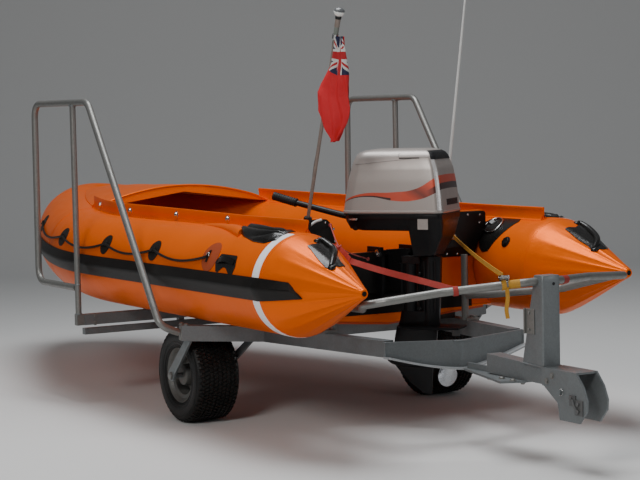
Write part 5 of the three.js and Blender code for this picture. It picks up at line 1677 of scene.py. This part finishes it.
lens = finish("lampLens", (0.8, 0.81, 0.78), 0.22, drift=(0.03, 0.25), dust=(0.08, paleDust),
    relief=(0.0012, 0.04), coat=0.5)
lamp = Shape().turned([(0, 0.014), (0.012, 0.014), (0.019, 0.019), (0.0245, 0.026), (0.027, 0.034),
    (0.0272, 0.037), (0.0255, 0.0395)], staffTop, staffDir, 32)
dome = Shape().turned([(0, 0.038), (0.0262, 0.038), (0.0268, 0.04), (0.024, 0.046), (0.018, 0.0515),
    (0.0095, 0.055), (0, 0.056)], staffTop, staffDir, 32)
dome.piece("lampDome", finish("lampDomeGrey", (0.1, 0.105, 0.11), 0.3, dust=(0.1, paleDust),
    relief=(0.002, 0.05)), "white", 40)
lamp.piece("staffLamp", lens, "white", 40, replaces=("staff_light",))
Shape().turned([(0, 0.0003), (0.014, 0.0003), (0.015, 0.002), (0.015, 0.0135), (0.013, 0.016)], staffTop,
    staffDir, 32).piece("lampBase", motorPlastic, "white", 40)
sleeve = Shape().turned([(0.0092, 0.927), (0.0122, 0.928), (0.0122, 0.999), (0.0092, 1.0)], staffFoot,
    staffDir, 20)
sleeve.points = [p + staffDir * ((p - staffFoot).dot(staffDir) * (length - 1)) for p in sleeve.points]
sleeve.piece("staffSleeve", finish("sleeveGrey", (0.16, 0.18, 0.16), 0.5, dust=(0.15, paleDust)), "steel", 40)
clamp = Shape().turned([(0.0092, -0.012), (0.0165, -0.012), (0.0165, 0.012), (0.0092, 0.012)],
    staffFoot + staffDir * (0.922 * length), staffDir, 20)
clamp.piece("staffClamp", brightSteel, "steel", 40)
lead = [staffFoot.lerp(staffTop, 0.985 - 0.93 * k / 20) + Vector((0.0105, 0.0035 * sin(k), 0.003))
    for k in range(21)]
Shape().tube(lead, 0.0022, 8).piece("lampLead", motorPlastic, "steel", 60)

aerialFoot = place(1.036, -0.378, 1.012)
aerialDir = Vector((-0.152, -0.03, 1)).normalized()
whip = Shape()
whip.turned([(0, 0), (0.0165, 0), (0.0172, 0.004), (0.0165, 0.04), (0.016, 0.06), (0.0152, 0.1),
    (0.0125, 0.108), (0.009, 0.112)], aerialFoot, aerialDir, 24)
whip.tube([aerialFoot + aerialDir * d for d in (0.1, 0.3, 0.5, 0.75, 1.0, 1.25, 1.49, 1.5)],
    [0.0085, 0.0083, 0.008, 0.007, 0.006, 0.005, 0.0042, 0.003], 16)
whip.piece("aerialWhip", whipWhite, "white", 45, replaces=("aerial",))
mount = Shape().box(place(1.0056, -0.402, 0.985), place(1.02, -0.354, 1.035))
mount.turned([(0, -0.006), (0.019, -0.006), (0.021, -0.002), (0.021, 0.014), (0.0185, 0.019), (0, 0.02)],
    aerialFoot, aerialDir, 24)
bevelled(mount.piece("aerialMount", motorPlastic, "white", 35), 0.0015)

# Ensign: hangs from two toggles on the staff in close folds; its pattern is drawn on the cloth's own flat
# coordinates
ensignCut = {"rows": [(1.975, 0.018, 0.04), (1.93, 0.024, 0.062), (1.88, 0.03, 0.08), (1.82, 0.038, 0.099),
    (1.76, 0.044, 0.116), (1.7, 0.048, 0.122), (1.63, 0.052, 0.124), (1.585, 0.051, 0.119),
    (1.54, 0.048, 0.108), (1.505, 0.04, 0.09), (1.468, 0.026, 0.064)],
    "fold": [(0, 0.05), (0.22, 0.3), (0.6, -0.1), (1.0, -0.62), (0.94, -0.86), (0.5, -0.46), (0.18, -0.4),
    (0.14, -0.62), (0.5, -0.82), (0.86, -1.0)], "thickness": 0.0009, "cantonDrop": 1.38}


# plain canton pattern: white and red crosses on blue, over a red field
def ensignPattern(tree, field):
    calc = partial(mathNode, tree)
    uv = addNode(tree, "SeparateXYZ", {0: addNode(tree, "UVMap", uv_map="flat").outputs[0]}).outputs
    u = calc("MULTIPLY", uv[0], 2.0)
    v = calc("MULTIPLY", calc("SUBTRACT", uv[1], 0.5), 2.0)
    a, b = calc("SUBTRACT", u, 0.5), calc("MULTIPLY", calc("SUBTRACT", v, 0.5), 0.5)
    canton = calc("MULTIPLY", calc("LESS_THAN", u, 1.0), calc("GREATER_THAN", v, 0))
    ratio = calc("MULTIPLY", a, 0.5)
    rising, falling = calc("SUBTRACT", b, ratio), calc("ADD", b, ratio)
    colour = (0.008, 0.013, 0.055)
    white, red = (0.6, 0.6, 0.58), (0.42, 0.01, 0.014)
    for value, width, tone in ((rising, 0.056, white), (falling, 0.056, white), (rising, 0.018, red),
            (falling, 0.018, red), (a, 0.083, white), (b, 0.083, white), (a, 0.05, red), (b, 0.05, red)):
        colour = mixColour(tree, calc("LESS_THAN", calc("ABSOLUTE", value), width), colour, tone)
    return mixColour(tree, canton, field, colour)


bunting = finish("ensignCloth", (0.58, 0.006, 0.012), 0.75, drift=(0.06, 0.08),
    dust=(0.05, (0.25, 0.23, 0.2)), relief=(0.0015, 0.3), thread=(0.8, 0.0014), roughDrift=0.03,
    reliefDepth=0.001, extra=ensignPattern)


# one line of the cloth seen from above: its canton half faces aft and to port, the rest is folded in behind
def foldLine(columns, w, d, v):
    corners = [Vector((-w * a * (1 + 0.06 * noise.noise(Vector((i, v * 3, 0.3)))),
        d * b + 0.008 * noise.noise(Vector((i * 1.7, v * 3.6, 5.0))), 0))
        for i, (a, b) in enumerate(ensignCut["fold"])]
    path = curveThrough(corners, 10)
    lengths = [0.0]
    for a, b in zip(path, path[1:]):
        lengths.append(lengths[-1] + (b - a).length)
    table = list(zip(lengths, range(len(path))))
    line = []
    for c in range(columns + 1):
        at = tableValue(table, lengths[-1] * c / columns)
        i = min(int(at), len(path) - 2)
        line.append(path[i].lerp(path[i + 1], at - i))
    return line


def makeEnsign():
    columns, lines = 96, 72
    top, foot = ensignCut["rows"][0][0], ensignCut["rows"][-1][0]
    depth = [(z, d) for z, d, w in reversed(ensignCut["rows"])]
    width = [(z, w) for z, d, w in reversed(ensignCut["rows"])]
    grid = []
    for r in range(lines + 1):
        v = r / lines
        z0 = blend(top, foot, v)
        hold = staffAt(max(z0, 1.69))
        # the loose lower corner of the hoist blows across to the port side of the staff
        loose = min(max((1.83 - z0) / 0.2, 0), 1) ** 1.3
        row = []
        for c, p in enumerate(foldLine(columns, tableValue(width, z0), tableValue(depth, z0), v)):
            u = c / columns
            corner = max(0, 1 - u / 0.17)
            p = p + Vector((0.01, 0.044, 0)) * (loose * corner)
            ripple = (0.006 * sin(19 * u + 6 * v) + 0.0055 * sin(48 * u - 10 * v)) * min(1, 6 * u)
            # the lower edge is cut up towards the fly and a little ragged
            reach = min(1, max(0, -p.x / 0.11 - 0.25))
            hem = v ** 6 * (0.07 * reach ** 1.5 + 0.006 * noise.noise(Vector((u * 14, 0.2, 3.0))) + 0.004)
            sag = 0.016 * v * (1 - v) * noise.noise(Vector((u * 5, v * 3,
                2.0))) + 0.15 * corner ** 0.8 * v ** 1.5
            row.append(Vector((hold.x - 0.0097 + p.x, hold.y + p.y + ripple,
                min(max(z0 + sag + hem, foot - 0.001), top))))
        grid.append(row)
    half = ensignCut["thickness"] / 2
    normals = []
    for r in range(lines + 1):
        line = []
        for c in range(columns + 1):
            across = grid[r][min(c + 1, columns)] - grid[r][max(c - 1, 0)]
            down = grid[min(r + 1, lines)][c] - grid[max(r - 1, 0)][c]
            line.append(across.cross(down).normalized())
        normals.append(line)
    points, uv = [], []
    for sign in (1, -1):
        for r in range(lines + 1):
            for c in range(columns + 1):
                points.append(grid[r][c] + normals[r][c] * (half * sign))
                uv.append((c / columns, max(0, 1 - ensignCut["cantonDrop"] * r / lines)))
    w, layer = columns + 1, (columns + 1) * (lines + 1)
    faces = []
    for r in range(lines):
        for c in range(columns):
            i = r * w + c
            faces.append((i, i + 1, i + w + 1, i + w))
            faces.append((layer + i, layer + i + w, layer + i + w + 1, layer + i + 1))
    edge = list(range(w)) + [r * w + columns for r in range(1, lines + 1)]
    edge += [lines * w + c for c in range(columns - 1, -1, -1)] + [r * w for r in range(lines - 1, 0, -1)]
    for a, b in zip(edge, edge[1:] + edge[:1]):
        faces.append((a, b, layer + b, layer + a))
    cloth = makePiece("ensignCloth", points, faces, bunting, "flag", 75, uv=uv, replaces=("ensign",))
    down = sum(sum((grid[r + 1][c] - grid[r][c]).length for r in range(lines)) for c in range(w)) / w


makeEnsign()
toggles = Shape()
for z in (1.962, 1.7):
    toggles.tube(circle(staffAt(z) - toBow * 0.002, toBow, toPort, 0.0128, 20, 1), 0.0022, 8)
toggles.piece("ensignToggles", whipWhite, "flag", 60)
leadPath = curveThrough(places((0.943, 0.508, 1.03), (0.938, 0.496, 1.052), (0.938, 0.462, 1.072),
    (0.943, 0.425, 1.08)), 8)
Shape().tube(leadPath, 0.0062, 12).piece("staffLead", whipWhite, "white", 60)
print("staff, aerial and ensign done")

# Floor, light and camera
camera = {"place": Vector((-9.094, 5.0568, 1.6108)), "azimuth": -30.42, "down": 3.959, "roll": -1.197,
    "focal": 102.76}


def setStage():
    forward = Vector((cos(radians(camera["azimuth"])), sin(radians(camera["azimuth"])), 0))
    across = Vector((forward.y, -forward.x, 0))
    profile = [(-13.0, 0), (8.0, 0)]
    profile += [(8.0 + 4.0 * sin(pi / 2 * k / 16), 4.0 - 4.0 * cos(pi / 2 * k / 16))
        for k in range(1, 17)] + [(12.0, 9.0)]
    centre = Vector((0.3, 0, 0))
    points = []
    for s, z in profile:
        for side in (-14, 14):
            points.append(centre + forward * s + across * side + Vector((0, 0, z - 0.0005)))
    faces = [(2 * i, 2 * i + 1, 2 * i + 3, 2 * i + 2) for i in range(len(profile) - 1)]
    mesh = bpy.data.meshes.new("floor")
    mesh.from_pydata([tuple(p) for p in points], [], faces)
    for polygon in mesh.polygons:
        polygon.use_smooth = True
    floor = addObject("floor", mesh)
    paint = bpy.data.materials.new("paleFloor")
    tree, shader = shaderTree(paint)
    shader.inputs["Base Color"].default_value = (0.7, 0.7, 0.69, 1)
    shader.inputs["Roughness"].default_value = 0.85
    mesh.materials.append(paint)


def softLight(name, at, aim, size, power, colour=(1, 1, 1)):
    data = bpy.data.lights.new(name, "AREA")
    data.shape = "RECTANGLE"
    data.size, data.size_y = size
    data.energy = power
    data.color = colour
    light = addObject(name, data)
    light.location = at
    light.rotation_euler = (aim - at).to_track_quat("-Z", "Y").to_euler()


setStage()
target = Vector((-0.8, 0.1, 0.8))
for name, at, size, power, colour in (("sky", (-0.5, 0.5, 6.5), (4.2, 3.2), 400, (0.96, 0.98, 1.0)),
        ("window", (-5.5, 6.5, 4.6), (2.2, 1.8), 250, (1.0, 0.985, 0.96)),
        ("bounce", (-8.0, -3.5, 2.6), (3.0, 2.4), 45, (0.97, 0.98, 1.0))):
    softLight(name, Vector(at), target, size, power, colour)
world = bpy.data.worlds.new("studio")
bpy.context.scene.world = world
world.use_nodes = True
background = world.node_tree.nodes["Background"].inputs
background["Color"].default_value = (0.8, 0.83, 0.87, 1)
background["Strength"].default_value = 0.15

lensData = bpy.data.cameras.new("camera")
lensData.lens = camera["focal"]
lensData.sensor_width = 36
lensData.clip_end = 200
eyePoint = addObject("camera", lensData)
az, down, roll = (radians(camera[key]) for key in ("azimuth", "down", "roll"))
forward = Vector((cos(az) * cos(down), sin(az) * cos(down), -sin(down)))
level = Vector((sin(az), -cos(az), 0))
above = level.cross(forward)
sideways = level * cos(roll) + above * sin(roll)
upwards = above * cos(roll) - level * sin(roll)
eyePoint.matrix_world = Matrix(((sideways.x, upwards.x, -forward.x, camera["place"].x),
    (sideways.y, upwards.y, -forward.y, camera["place"].y), (sideways.z, upwards.z, -forward.z,
    camera["place"].z), (0, 0, 0, 1)))
bpy.context.scene.camera = eyePoint
